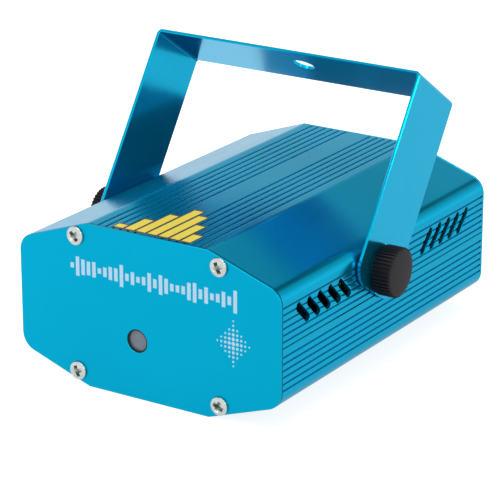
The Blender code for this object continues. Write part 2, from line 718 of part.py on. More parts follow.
def make_clamp(side, sign):
    """Knob, stud, washers and rivet nut along the pivot axis, outwards to one side."""
    turn = AXIS_RIGHT if sign > 0 else AXIS_LEFT

    def along(distance):
        return at(sign * distance, PIVOT_Y, PIVOT_HEIGHT, turn)

    bore = STUD_RADIUS + FIT
    envelope = turned("knob_envelope_" + side, knob_envelope(), along(KNOB_BASE), steps=KNOB_FLUTES)
    rim = at(sign * (KNOB_BASE + KNOB_LENGTH / 2), PIVOT_Y, PIVOT_HEIGHT, turn)
    knob = outline_solid("clamp_knob_" + side, [flute_outline()], KNOB_LENGTH + 2 * BEYOND, rim, PARTS,
                         BLACK_PLASTIC)
    knob_bore = cylinder("knob_bore_" + side, bore, KNOB_LENGTH - KNOB_FACE_WALL + BEYOND,
                         along(KNOB_BASE - BEYOND), steps=SMALL_STEPS)
    combine(knob, "INTERSECT", envelope)
    cut(knob, knob_bore)
    stud_start = HALF_WIDTH - STUD_REACH
    stud_end = KNOB_BASE + KNOB_LENGTH - KNOB_FACE_WALL - FIT
    stud_length = stud_end - stud_start
    tip = STUD_RADIUS * 0.3
    profile = [(0, stud_length), (STUD_RADIUS, stud_length), (STUD_RADIUS, tip), (STUD_RADIUS - tip, 0), (0, 0)]
    turned("clamp_stud_" + side, profile, along(stud_start), PARTS, BRIGHT_ZINC, SMALL_STEPS)
    washer_ring(side, "clamp_washer_", bore, CLAMP_WASHER_RADIUS, CLAMP_WASHER_THICKNESS,
                along(LEG_OUTSIDE + WASHER_PLAY), BRIGHT_ZINC)
    flange_radius = RIVET_RADIUS + RIVET_COLLAR
    thin = LEG_GAP - 2 * WASHER_PLAY
    washer_ring(side, "friction_washer_", flange_radius + FIT, FRICTION_WASHER_RADIUS, thin,
                along(HALF_WIDTH + WASHER_PLAY), RUBBER)
    inside = HALF_WIDTH - WALL - WASHER_PLAY
    start = HALF_WIDTH - RIVET_LENGTH
    outer = HALF_WIDTH + WASHER_PLAY + thin
    profile = [(bore, outer), (flange_radius, outer), (flange_radius, HALF_WIDTH + WASHER_PLAY),
               (RIVET_RADIUS, HALF_WIDTH + WASHER_PLAY), (RIVET_RADIUS, inside), (flange_radius, inside),
               (flange_radius, inside - RIVET_COLLAR_LENGTH), (RIVET_RADIUS, inside - RIVET_COLLAR_LENGTH),
               (RIVET_RADIUS, start), (bore, start)]
    nut = [(radius, height - start) for radius, height in profile]
    turned("rivet_nut_" + side, nut, along(start), PARTS, BRIGHT_ZINC, SMALL_STEPS, ring=True)


def washer_ring(side, name, bore, radius, thickness, placement, material):
    profile = [(bore, thickness), (radius, thickness), (radius, 0), (bore, 0)]
    turned(name + side, profile, placement, PARTS, material, SMALL_STEPS, ring=True)


def make_tripod_nut():
    neck = TRIPOD_BORE_RADIUS + TRIPOD_WALL
    flange_top = FLOOR + TRIPOD_FLANGE_THICKNESS
    profile = [(TRIPOD_BORE_RADIUS, TRIPOD_NUT_HEIGHT), (neck, TRIPOD_NUT_HEIGHT), (neck, flange_top),
               (TRIPOD_FLANGE_RADIUS, flange_top), (TRIPOD_FLANGE_RADIUS, FLOOR), (neck, FLOOR),
               (neck, WASHER_PLAY), (TRIPOD_BORE_RADIUS, WASHER_PLAY)]
    turned("tripod_nut", profile, at(0, TRIPOD_Y, 0), PARTS, BRASS, ROUND_STEPS, ring=True)


def block_section():
    """The laser block from the front: a flange on the left, and cooling fins on top at the right."""
    left = WINDOW_X - BLOCK_LEFT
    right = WINDOW_X + BLOCK_RIGHT
    top = FLOOR + BLOCK_HEIGHT
    flange_top = FLOOR + BLOCK_FLANGE_THICKNESS
    points = [(left - BLOCK_FLANGE, FLOOR), (right, FLOOR), (right, top)]
    fin_start = WINDOW_X + GREEN_MODULE_RADIUS
    pitch = (right - fin_start) / FIN_COUNT
    for index in range(FIN_COUNT):
        slot_right = right - (index + 1) * pitch + FIN_SLOT_WIDTH
        slot_left = slot_right - FIN_SLOT_WIDTH
        points += [(slot_right, top), (slot_right, top - FIN_SLOT_DEPTH), (slot_left, top - FIN_SLOT_DEPTH),
                   (slot_left, top)]
    return points + [(left, top), (left, flange_top), (left - BLOCK_FLANGE, flange_top)]


def make_laser():
    middle = at(0, BLOCK_FRONT + BLOCK_LENGTH / 2, 0, FRONT_PLANE)
    holder = outline_solid("laser_block", [block_section()], BLOCK_LENGTH, middle, PARTS, RAW_ALUMINIUM)
    beam_start = at(WINDOW_X, BLOCK_REAR + BEYOND, WINDOW_HEIGHT, AXIS_FRONT)
    beam_bore = cylinder("green_bore_cutter", GREEN_MODULE_RADIUS + HOLE_PLAY, BLOCK_LENGTH + 2 * BEYOND,
                         beam_start)
    side_start = at(WINDOW_X, COMBINER_Y, WINDOW_HEIGHT, AXIS_RIGHT)
    side_bore = cylinder("red_bore_cutter", RED_MODULE_RADIUS + HOLE_PLAY, BLOCK_RIGHT + BEYOND, side_start)
    cut(holder, beam_bore, side_bore)
    for name, (x, y, _) in floor_screw_places().items():
        if name.startswith("laser_block"):
            drill = cylinder(name + "_clearance", SMALL_SCREW_RADIUS + FIT, BLOCK_FLANGE_THICKNESS + 2 * BEYOND,
                             at(x, y, FLOOR - BEYOND), steps=SMALL_STEPS)
            cut(holder, drill)
    cube = block("beam_combiner", (COMBINER_SIZE,) * 3, at(WINDOW_X, COMBINER_Y, WINDOW_HEIGHT), PARTS,
                 CLEAR_PLASTIC)
    soften = cube.modifiers.new("Ground edges", "BEVEL")
    soften.width = COMBINER_SIZE / 20
    soften.segments = 1
    module_tail(GREEN_MODULE_RADIUS, GREEN_MODULE_LENGTH, "green_laser_module",
                at(WINDOW_X, COMBINER_Y + COMBINER_SIZE / 2 + FIT, WINDOW_HEIGHT, AXIS_REAR))
    module_tail(RED_MODULE_RADIUS, RED_MODULE_LENGTH, "red_laser_module",
                at(WINDOW_X + GREEN_MODULE_RADIUS + FIT, COMBINER_Y, WINDOW_HEIGHT, AXIS_RIGHT))


def module_tail(radius, length, name, placement):
    """A brass laser module: a lens recess at its start and a stepped tail."""
    step = radius * 0.3
    profile = [(0, length), (radius - step, length), (radius - step, length - step), (radius, length - step),
               (radius, 0), (radius * 0.5, 0), (radius * 0.4, step), (0, step)]
    turned(name, profile, placement, PARTS, BRASS)


def make_grating_drive():
    hub_end = WHEEL_RIM_THICKNESS + WHEEL_HUB_LENGTH
    bore = MOTOR_SHAFT_RADIUS + HOLE_PLAY
    web_low = (WHEEL_RIM_THICKNESS - WHEEL_THICKNESS) / 2
    web_high = web_low + WHEEL_THICKNESS
    inner_rim = WHEEL_RADIUS - WHEEL_RIM
    profile = [(bore, hub_end), (WHEEL_HUB_RADIUS, hub_end), (WHEEL_HUB_RADIUS, web_high), (inner_rim, web_high),
               (inner_rim, WHEEL_RIM_THICKNESS), (WHEEL_RADIUS, WHEEL_RIM_THICKNESS), (WHEEL_RADIUS, 0),
               (inner_rim, 0), (inner_rim, web_low), (WHEEL_HUB_RADIUS, web_low), (bore, web_low)]
    place = at(WINDOW_X, WHEEL_FRONT, WHEEL_HEIGHT, AXIS_REAR)
    turned("grating_wheel", profile, place, PARTS, CLEAR_PLASTIC, ring=True)
    boss = MOUNT_THICKNESS / 2
    rear = MOTOR_LENGTH
    profile = [(0, rear + boss), (MOTOR_BOSS_RADIUS, rear + boss), (MOTOR_BOSS_RADIUS, rear),
               (MOTOR_RADIUS, rear), (MOTOR_RADIUS, 0), (MOTOR_BOSS_RADIUS, 0), (MOTOR_BOSS_RADIUS, -boss),
               (bore, -boss), (bore, rear / 2), (0, rear / 2)]
    turned("grating_motor", profile, at(WINDOW_X, MOTOR_FRONT, WHEEL_HEIGHT, AXIS_REAR), PARTS, RAW_ALUMINIUM)
    shaft_front = WHEEL_FRONT + web_low
    shaft_length = MOTOR_FRONT + rear / 2 - FIT - shaft_front
    cylinder("motor_shaft", MOTOR_SHAFT_RADIUS, shaft_length, at(WINDOW_X, shaft_front, WHEEL_HEIGHT, AXIS_REAR),
             PARTS, BRIGHT_ZINC, SMALL_STEPS)
    make_motor_mount()


def make_motor_mount():
    """Folded sheet: an upright plate that the motor's boss plugs into, and a foot on the floor."""
    top = WHEEL_HEIGHT + MOTOR_RADIUS
    rear = MOUNT_FRONT + MOUNT_THICKNESS + MOUNT_FOOT
    profile = [(MOUNT_FRONT, FLOOR), (rear, FLOOR), (rear, FLOOR + MOUNT_THICKNESS),
               (MOUNT_FRONT + MOUNT_THICKNESS, FLOOR + MOUNT_THICKNESS), (MOUNT_FRONT + MOUNT_THICKNESS, top),
               (MOUNT_FRONT, top)]
    mount = outline_solid("motor_mount", [profile], MOUNT_WIDTH, at(WINDOW_X, 0, 0, SIDE_PLANE), PARTS,
                          RAW_ALUMINIUM)
    start_y = MOUNT_FRONT + MOUNT_THICKNESS + BEYOND
    through = MOUNT_THICKNESS + 2 * BEYOND
    beam = cylinder("beam_hole_cutter", WINDOW_RADIUS, through, at(WINDOW_X, start_y, WINDOW_HEIGHT, AXIS_FRONT))
    boss = cylinder("motor_boss_cutter", MOTOR_BOSS_RADIUS + FIT, through,
                    at(WINDOW_X, start_y, WHEEL_HEIGHT, AXIS_FRONT))
    cut(mount, beam, boss)
    for name, (x, y, _) in floor_screw_places().items():
        if name.startswith("motor_mount"):
            drill = cylinder(name + "_clearance", SMALL_SCREW_RADIUS + FIT, through, at(x, y, FLOOR - BEYOND),
                             steps=SMALL_STEPS)
            cut(mount, drill)


def post_places():
    places = []
    for side, x in (("right", POST_TO_RIGHT), ("left", -POST_TO_LEFT)):
        for end, y in (("front", BOARD_FRONT + POST_EDGE), ("rear", BOARD_REAR - POST_FROM_REAR)):
            places.append((end + "_" + side, x, y))
    return places


def make_circuit_board():
    outline = rectangle(-BOARD_TO_LEFT, BOARD_FRONT, BOARD_TO_RIGHT, BOARD_REAR)
    holes = [circle(x, y, SMALL_SCREW_RADIUS + FIT, SMALL_STEPS) for _, x, y in post_places()]
    middle = at(0, 0, BOARD_TOP - BOARD_THICKNESS / 2)
    board = outline_solid("circuit_board", [outline] + holes, BOARD_THICKNESS, middle, PARTS, BOARD_GREEN)
    bore = SMALL_SCREW_RADIUS + HOLE_PLAY
    profile = [(bore, POST_HEIGHT), (POST_RADIUS, POST_HEIGHT), (POST_RADIUS, 0), (bore, 0)]
    for name, x, y in post_places():
        turned("board_post_" + name, profile, at(x, y, FLOOR), PARTS, BRASS, SMALL_STEPS, ring=True)


def make_dc_jack():
    width, length, height = JACK_SIZE
    centre_height = CONTROL_BASE + height / 2
    face = REAR_INSIDE - FIT
    jack = block("dc_jack", JACK_SIZE, at(JACK_X, face - length / 2, centre_height), PARTS, BLACK_PLASTIC)
    nozzle = cylinder("jack_nozzle", JACK_NOZZLE_RADIUS, PLATE_THICKNESS + FIT + BEYOND,
                      at(JACK_X, face - BEYOND, centre_height, AXIS_REAR))
    bore_profile = [(JACK_PIN_RADIUS, JACK_BORE_DEPTH), (JACK_BORE_RADIUS, JACK_BORE_DEPTH),
                    (JACK_BORE_RADIUS, 0), (JACK_PIN_RADIUS, 0)]
    bottom = face + PLATE_THICKNESS + FIT - (JACK_BORE_DEPTH - BEYOND)
    bore = turned("jack_bore_cutter", bore_profile, at(JACK_X, bottom, centre_height, AXIS_REAR), ring=True)
    join(jack, nozzle)
    cut(jack, bore)


def make_mode_switch():
    width, depth, height = SWITCH_SIZE
    centre_height = CONTROL_BASE + height / 2
    face = REAR_INSIDE - FIT
    body = block("mode_switch", SWITCH_SIZE, at(SWITCH_X, face - depth / 2, centre_height), PARTS, BRIGHT_ZINC)
    slider_long, slider_deep, slider_high = SLIDER_SIZE
    cavity_size = (slider_long + 2 * (SWITCH_TRAVEL + FIT), slider_deep + 2 * FIT, slider_high + 2 * FIT)
    cavity_y = face - SWITCH_WALL - cavity_size[1] / 2
    cavity = block("switch_cavity", cavity_size, at(SWITCH_X, cavity_y, centre_height))
    mouth_size = (SLIDER_STEM + 2 * (SWITCH_TRAVEL + FIT), SWITCH_WALL + 2 * BEYOND, slider_high + 2 * FIT)
    mouth = block("switch_mouth", mouth_size, at(SWITCH_X, face, centre_height))
    cut(body, cavity, mouth)
    slider = block("mode_slider", SLIDER_SIZE, at(SWITCH_X, cavity_y, centre_height), PARTS, BLACK_PLASTIC)
    stem_end = REAR + SLIDER_PROUD
    stem_size = (SLIDER_STEM, stem_end - cavity_y, slider_high * 0.95)
    stem = block("slider_stem", stem_size, at(SWITCH_X, (cavity_y + stem_end) / 2, centre_height))
    join(slider, stem)


def make_indicator_light():
    height = CONTROL_BASE + DIAL_BODY[2] / 2
    profile = [(0, LIGHT_LENGTH), (LIGHT_RADIUS * 0.6, LIGHT_LENGTH - LIGHT_RADIUS * 0.25),
               (LIGHT_RADIUS, LIGHT_LENGTH - LIGHT_RADIUS), (LIGHT_RADIUS, 0), (0, 0)]
    start = REAR + LIGHT_RADIUS / 2 - LIGHT_LENGTH
    turned("indicator_light", profile, at(LIGHT_X, start, height, AXIS_REAR), PARTS, RED_LENS, SMALL_STEPS)


def make_speed_dial():
    width, depth, height = DIAL_BODY
    centre_height = CONTROL_BASE + height / 2
    face = REAR_INSIDE - FIT
    body = block("speed_control", DIAL_BODY, at(DIAL_X, face - depth / 2, centre_height), PARTS, BLACK_PLASTIC)
    bush = cylinder("control_bush", DIAL_SHAFT_RADIUS, PLATE_THICKNESS + DIAL_SHAFT_LENGTH + BEYOND,
                    at(DIAL_X, face - BEYOND, centre_height, AXIS_REAR), steps=SMALL_STEPS)
    join(body, bush)
    bore = DIAL_SHAFT_RADIUS + HOLE_PLAY
    top = DIAL_LENGTH
    under = DIAL_SHAFT_LENGTH - FIT
    profile = [(0, top), (DIAL_RADIUS * 0.8, top), (DIAL_RADIUS * 0.9, top * 0.9), (DIAL_RADIUS, 0), (bore, 0),
               (bore, under), (0, under)]
    knob = turned("speed_knob", profile, at(DIAL_X, REAR + 2 * FIT, centre_height, AXIS_REAR), PARTS,
                  BLACK_PLASTIC)
    pointer_size = (DIAL_RADIUS * 0.18, DIAL_RADIUS * 0.7, top * 0.24)
    pointer = block("dial_pointer", pointer_size,
                    at(DIAL_X, REAR + 2 * FIT + top * 0.96, centre_height + DIAL_RADIUS * 0.45, AXIS_REAR))
    join(knob, pointer)


def make_microphone():
    height = CONTROL_BASE + MICROPHONE_RADIUS
    start = REAR_INSIDE - FIT - MICROPHONE_LENGTH
    cylinder("microphone", MICROPHONE_RADIUS, MICROPHONE_LENGTH, at(MICROPHONE_X, start, height, AXIS_REAR),
             PARTS, RAW_ALUMINIUM, SMALL_STEPS)


def make_cooling_fan():
    half = FAN_SIZE / 2
    front = REAR_INSIDE - FIT - FAN_THICKNESS
    middle = at(FAN_X, front + FAN_THICKNESS / 2, FAN_HEIGHT, FRONT_PLANE)
    offset = FAN_HOLE_OFFSET
    holes = [circle(0, 0, FAN_BORE_RADIUS)]
    for x in (-offset, offset):
        holes += [circle(x, y, SMALL_SCREW_RADIUS + FIT, SMALL_STEPS) for y in (-offset, offset)]
    frame = outline_solid("fan_frame", [rectangle(-half, -half, half, half)] + holes, FAN_THICKNESS, middle, PARTS,
                          BLACK_PLASTIC)
    hub = cylinder("fan_spider_hub", FAN_HUB_RADIUS, FAN_SPIDER, at(FAN_X, front, FAN_HEIGHT, AXIS_REAR))
    strut_size = (FAN_SPIDER * 2, FAN_SPIDER * 0.9, FAN_BORE_RADIUS - FAN_HUB_RADIUS + FAN_SPIDER)
    struts = []
    for index in range(3):
        turn = Matrix.Rotation(math.radians(60 + 120 * index), 4, "Y")
        shift = Matrix.Translation((0, 0, (FAN_BORE_RADIUS + FAN_HUB_RADIUS) / 2))
        place = at(FAN_X, front + FAN_SPIDER * 0.5, FAN_HEIGHT, turn @ shift)
        struts.append(block("fan_strut_%d" % (index + 1), strut_size, place))
    join(frame, hub, *struts)
    rotor_front = front + FAN_SPIDER + FIT
    rotor_length = FAN_THICKNESS - FAN_SPIDER - 2 * FIT
    place = at(FAN_X, rotor_front, FAN_HEIGHT, AXIS_REAR)
    rotor = cylinder("fan_rotor", FAN_HUB_RADIUS, rotor_length, place, PARTS, BLACK_PLASTIC)
    tip = FAN_BORE_RADIUS - BLADE_GAP
    root = FAN_HUB_RADIUS * 0.8
    blade_size = (tip - root, BLADE_THICKNESS, rotor_length / math.cos(BLADE_PITCH) * 0.85)
    for index in range(BLADE_COUNT):
        turn = Matrix.Rotation(2 * math.pi * index / BLADE_COUNT, 4, "Z")
        shift = Matrix.Translation(((tip + root) / 2, 0, rotor_length / 2))
        pitch = Matrix.Rotation(BLADE_PITCH, 4, "X")
        join(rotor, block("fan_blade_%d" % (index + 1), blade_size, place @ turn @ shift @ pitch))


def smooth_route(points, steps=6):
    """Points on a smooth curve through the route's own points."""
    route = [Vector(point) for point in points]
    route = [2 * route[0] - route[1]] + route + [2 * route[-1] - route[-2]]
    smooth = []
    for before, start, end, after in zip(route, route[1:], route[2:], route[3:]):
        for step in range(steps):
            t = step / steps
            smooth.append(0.5 * (2 * start + (end - before) * t + (2 * before - 5 * start + 4 * end - after) * t ** 2
                                 + (3 * start - before - 3 * end + after) * t ** 3))
    return smooth + [route[-2]]


def make_lead(name, points):
    curve = bpy.data.curves.new(name, "CURVE")
    curve.dimensions = "3D"
    curve.bevel_depth = LEAD_RADIUS
    curve.bevel_resolution = 2
    curve.use_fill_caps = True
    spline = curve.splines.new("POLY")
    route = smooth_route(points)
    spline.points.add(len(route) - 1)
    for point, place in zip(spline.points, route):
        point.co = (*place, 1)
    settle(add_object(name, curve, LEVEL, PARTS, LEAD_SLEEVE))


def make_leads():
    """Leads from the laser, the motor and the fan, each down to its place on the board."""
    landing = BOARD_TOP + LEAD_RADIUS + FIT
    board_y = BOARD_FRONT + LEAD_LANDING
    x = WINDOW_X
    tail = COMBINER_Y + COMBINER_SIZE / 2 + 2 * FIT + GREEN_MODULE_LENGTH
    make_lead("laser_lead", [
        (x, tail, WINDOW_HEIGHT),
        (x, tail + LEAD_STUB, WINDOW_HEIGHT),
        (x - 3 * LEAD_STEP, board_y - 6 * LEAD_STEP, WINDOW_HEIGHT - 2 * LEAD_STEP),
        (x - LEAD_STUB, board_y, landing + LEAD_DROP),
        (x - LEAD_STUB, board_y + LEAD_STEP, landing)])
    motor_rear = MOTOR_FRONT + MOTOR_LENGTH + FIT
    x = WINDOW_X + MOTOR_RADIUS * 0.6
    start = WHEEL_HEIGHT + MOTOR_RADIUS * 0.53
    over = FLOOR + BLOCK_HEIGHT + LEAD_DROP
    make_lead("motor_lead", [
        (x, motor_rear, start),
        (x, motor_rear + 3 * LEAD_STEP, start),
        (x, BLOCK_FRONT + BLOCK_LENGTH / 2, over),
        (x, BLOCK_REAR + 12 * LEAD_STEP, over - LEAD_STUB),
        (x, board_y - 6 * LEAD_STEP, landing + MOTOR_LEAD_RISE),
        (x, board_y + LEAD_STEP, landing + LEAD_DROP),
        (x, board_y + 2 * LEAD_STEP, landing)])
    x = FAN_X - FAN_SIZE / 2 - FIT
    y = REAR_INSIDE - FAN_THICKNESS / 2
    make_lead("fan_lead", [
        (x - LEAD_RADIUS, y, FAN_HEIGHT),
        (x - 3 * LEAD_STEP, y - 3 * LEAD_STEP, FAN_HEIGHT - LEAD_STEP),
        (x - LEAD_STUB, y - 8 * LEAD_STEP, FAN_HEIGHT - 7 * LEAD_STEP),
        (x - LEAD_STUB, y - LEAD_LANDING, landing + LEAD_DROP),
        (x - LEAD_STUB, y - LEAD_LANDING, landing)])


def smooth_round_pieces():
    """Shade curved pieces smooth and keep their hard edges sharp."""
    for thing in PARTS.objects:
        if thing.type == "MESH":
            thing.data.shade_smooth()
            thing.data.set_sharp_from_angle(angle=math.radians(35))


make_upper_shell()
make_lower_shell()
make_front_plate()
make_rear_plate()
make_plate_screws()
make_small_screws()
make_bracket()
for clamp_side, clamp_sign in SIDE_SIGNS.items():
    make_clamp(clamp_side, clamp_sign)
make_tripod_nut()
make_laser()
make_grating_drive()
make_circuit_board()
make_dc_jack()
make_mode_switch()
make_indicator_light()
make_speed_dial()
make_microphone()
make_cooling_fan()
make_leads()
smooth_round_pieces()
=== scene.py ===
# %% [markdown]
# # Dressing a small party light
#
# The light is a box made of two grooved aluminium extrusions, closed by two flat plates, and it hangs in a
# bracket bent from flat strip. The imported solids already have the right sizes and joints, so this script
# adds what a camera sees on top of them: finishes, crisp edges, ribs, screw heads and printing.

# %% Load the frame
import math

import bmesh
import bpy
from mathutils import Euler, Matrix, Vector


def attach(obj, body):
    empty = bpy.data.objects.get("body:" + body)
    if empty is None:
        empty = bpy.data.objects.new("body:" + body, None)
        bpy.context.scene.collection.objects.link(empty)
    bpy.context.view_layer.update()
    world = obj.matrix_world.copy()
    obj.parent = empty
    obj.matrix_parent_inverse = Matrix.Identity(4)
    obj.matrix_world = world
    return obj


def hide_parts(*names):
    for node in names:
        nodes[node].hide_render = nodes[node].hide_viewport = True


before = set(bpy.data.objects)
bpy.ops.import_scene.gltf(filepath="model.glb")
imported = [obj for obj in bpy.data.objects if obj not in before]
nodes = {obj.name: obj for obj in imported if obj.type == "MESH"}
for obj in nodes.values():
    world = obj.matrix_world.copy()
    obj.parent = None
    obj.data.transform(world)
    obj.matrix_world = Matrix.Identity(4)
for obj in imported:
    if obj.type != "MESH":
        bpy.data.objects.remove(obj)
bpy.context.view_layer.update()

# %% [markdown]
# Sizes are in millimetres, because they read like a drawing, and one factor turns them into Blender's
# metres. A piece that stands for a solid has to repeat the sizes of that solid. The sizes that several
# pieces share come first, and every other size stands where it is first needed.

# %% Shared sizes
MM = 0.001
LENGTH, WIDTH, HEIGHT = 123.0, 93.0, 52.0
FLAT_WIDTH, SHOULDER, CORNER = 43.0, 8.6, 5.7
PIVOT = Vector((0, -7.5, 35.0))
print("housing", LENGTH, "x", WIDTH, "x", HEIGHT, "mm")

# %% [markdown]
# ## The camera
#
# The camera was fitted to the picture: corners of the box were paired with their pixels, and the angle,
# distance and lens that put them back in place were solved for. A long lens far away gives the flat
# perspective of a product shot. Blender aims a camera along its own -Z, so a quaternion that tracks the
# target does the turning. Lamps look along -Z too, and the same helper aims them later on.

# %% Camera
AZIMUTH, ELEVATION = math.radians(32.784), math.radians(19.579)
TARGET = Vector((-3.58, 0, 28.79)) * MM
DISTANCE = 779.2 * MM
SENSOR, FOCAL_PIXELS, PICTURE_PIXELS = 36.0, 2479.6, 500


def new_object(name, data):
    thing = bpy.data.objects.new(name, data)
    bpy.context.scene.collection.objects.link(thing)
    return thing


def aim(thing, direction):
    thing.rotation_mode = "QUATERNION"
    thing.rotation_quaternion = direction.to_track_quat("-Z", "Y")


level = math.cos(ELEVATION)
back = Vector((math.sin(AZIMUTH) * level, -math.cos(AZIMUTH) * level, math.sin(ELEVATION)))
camera_data = bpy.data.cameras.new("camera")
camera_data.sensor_width = SENSOR
camera_data.lens = SENSOR * FOCAL_PIXELS / PICTURE_PIXELS
camera_data.clip_start = 0.01
camera = new_object("camera", camera_data)
camera.location = TARGET + back * DISTANCE
aim(camera, -back)
bpy.context.scene.camera = camera
print("camera at", [round(value, 3) for value in camera.location], "lens", round(camera_data.lens, 1))

# %% [markdown]
# ## Two small helpers for node trees
#
# A node tree can be wired by hand, link by link, but then a sum of three textures takes twenty lines.
# `Signal` wraps one socket, and Python's own + - * / add the Math nodes.

# %% Sums of sockets
class Signal:
    """One output socket that can be used in sums."""

    def __init__(self, graph, node, output=0):
        self.graph = graph
        self.socket = node.outputs[output]

    def maths(self, operation, first, second=0.0):
        return self.graph.add("ShaderNodeMath", {"operation": operation}, {0: first, 1: second})

    def __add__(self, other):
        return self.maths("ADD", self, other)

    def __radd__(self, other):
        return self.maths("ADD", other, self)

    def __sub__(self, other):
        return self.maths("SUBTRACT", self, other)

    def __rsub__(self, other):
        return self.maths("SUBTRACT", other, self)

    def __mul__(self, other):
        return self.maths("MULTIPLY", self, other)

    def __rmul__(self, other):
        return self.maths("MULTIPLY", other, self)

    def __truediv__(self, other):
        return self.maths("DIVIDE", self, other)

    def over(self, other):
        return self.maths("GREATER_THAN", self, other)

    def under(self, other):
        return self.maths("LESS_THAN", self, other)

    def wave(self):
        return self.maths("SINE", self)

    def size(self):
        return self.maths("ABSOLUTE", self)


print("sockets can be added up")

# %% [markdown]
# `Graph` has one method that adds any node: its settings first, because some settings change which
# sockets exist, then its inputs. A list feeds a socket that takes several links.

# %% Tree builder
class Graph:
    """A node tree that is written in short lines."""

    def __init__(self, tree):
        self.tree = tree

    def add(self, kind, settings=None, inputs=None, output=0):
        node = self.tree.nodes.new(kind)
        for name, value in (settings or {}).items():
            if name == "stops":
                self.set_stops(node.color_ramp.elements, value)
            else:
                setattr(node, name, value)
        for name, value in (inputs or {}).items():
            self.feed(node.inputs[name], value)
        return Signal(self, node, output)

    def feed(self, socket, value):
        for item in value if isinstance(value, list) else [value]:
            if isinstance(item, Signal):
                self.tree.links.new(item.socket, socket)
            else:
                socket.default_value = item

    def set_stops(self, elements, stops):
        while len(elements) < len(stops):
            elements.new(0.5)
        for element, (place, grey) in zip(elements, stops):
            element.position = place
            element.color = (grey, grey, grey, 1.0)

    def part(self, vector, axis):
        """One of the three numbers of a vector."""
        return self.add("ShaderNodeSeparateXYZ", {}, {0: vector}, axis)


print("node helpers ready")

# %% [markdown]
# ## Finishes
#
# A `Finish` is a material with one Principled shader. Its texture coordinates are the object's own, in
# metres, so a grain has a real size: a noise scale of 1000 makes grains of about one millimetre. A mask
# that blends two close shades of one colour is what keeps a surface from looking like flat paint.

# %% Finish helper
class Finish(Graph):
    """A material built round one Principled shader."""

    def __init__(self, name, **plain):
        self.material = bpy.data.materials.new(name)
        self.material.use_nodes = True
        super().__init__(self.material.node_tree)
        self.shader = self.tree.nodes["Principled BSDF"]
        self.place = self.add("ShaderNodeTexCoord", output="Object")
        for key, value in plain.items():
            self.set(key.replace("_", " ").title(), value)

    def set(self, socket, value):
        """A link, or a value that is the same all over, on the shader's own socket."""
        self.feed(self.shader.inputs[socket], value)

    def stretched(self, x, y, z):
        """Object coordinates, scaled differently along each axis."""
        return self.add("ShaderNodeMapping", {}, {"Vector": self.place, "Scale": (x, y, z)})

    def noise(self, place, scale, detail=2.0, roughness=0.5):
        values = {"Vector": place, "Scale": scale, "Detail": detail, "Roughness": roughness}
        return self.add("ShaderNodeTexNoise", {}, values)

    def tint(self, mask, shade, colour, socket="Base Color"):
        """A colour that a mask blends from a shade to a colour."""
        colours = {0: mask, 6: (*shade, 1.0), 7: (*colour, 1.0)}
        self.set(socket, self.add("ShaderNodeMix", {"data_type": "RGBA"}, colours, 2))

    def bump(self, height, depth):
        self.set("Normal", self.add("ShaderNodeBump", {}, {"Height": height, "Distance": depth}))


def dress(material, *names):
    """Give CAD nodes a finish."""
    for name in names:
        for slot in nodes[name].material_slots:
            slot.material = material
    print(material.name, "on", len(names), "nodes")


# %% [markdown]
# ### Blue anodising
#
# Anodised aluminium is metal under a dyed, clear oxide layer. A metallic value just under 1 with a strong
# cyan does it: the metal tints what it reflects, and the rest is the dye itself, without a highlight of
# its own. The specular tint is the colour that the reflection takes at a grazing angle. What differs from
# piece to piece is the grain. The extrusions are brushed along their length, so the noise is stretched 60
# times along Y. The plates are blasted, an even fine grain. The strip is brushed along its own length,
# which turns at the bends, so there the grain is fine and only slightly stretched.

# %% Blue anodised finishes
CYAN = (0.001, 0.328, 0.510)
DEEP = (0.001, 0.278, 0.455)
EDGE_TINT = (0.64, 0.68, 0.72, 1.0)
STRIP_EDGE_TINT = (0.8, 0.88, 0.95, 1.0)


def anodised(name, stretch, grain, roughness, streaks, depth, bright, edge=EDGE_TINT):
    """Tinted metal with a grain that is stretched to run one way."""
    finish = Finish(name, metallic=0.92)
    finish.set("Specular Tint", edge)
    finish.set("Specular IOR Level", 0.0)
    lines = finish.noise(finish.stretched(*stretch), grain, 3.0, 0.6)
    clouds = finish.noise(finish.place, 30.0)
    deep, cyan = [tuple(bright * part for part in colour) for colour in (DEEP, CYAN)]
    finish.tint(lines * 0.5 + clouds * 0.5, deep, cyan)
    finish.set("Roughness", lines * streaks + (roughness - streaks / 2))
    finish.bump(lines, depth)
    return finish.material


BRUSHED_BLUE = anodised("brushed_blue", (1.0, 1 / 60, 1.0), grain=2600.0, roughness=0.22, streaks=0.16,
                        depth=0.000006, bright=1.03)
BLASTED_BLUE = anodised("blasted_blue", (1.0, 1.0, 1.0), grain=4000.0, roughness=0.36, streaks=0.08,
                        depth=0.000003, bright=0.94)
STRIP_BLUE = anodised("strip_blue", (1.0, 0.15, 0.15), grain=2200.0, roughness=0.16, streaks=0.05,
                      depth=0.000001, bright=1.09, edge=STRIP_EDGE_TINT)
print("three blue finishes")

# %% [markdown]
# ### Metals inside and out
#
# Zinc plate is bright with a faint cloudiness, turned brass shows fine rings, and milled aluminium shows
# the cutter's passes. All three are one metal recipe with another colour and grain direction.

# %% Plain metals
def metal(name, colour, shade, roughness, stretch=(1.0, 1.0, 1.0), grain=900.0):
    finish = Finish(name, metallic=1.0)
    lines = finish.noise(finish.stretched(*stretch), grain, 3.0)
    finish.tint(lines, shade, colour)
    finish.set("Roughness", lines * 0.12 + (roughness - 0.06))
    finish.bump(lines, 0.000006)
    return finish.material


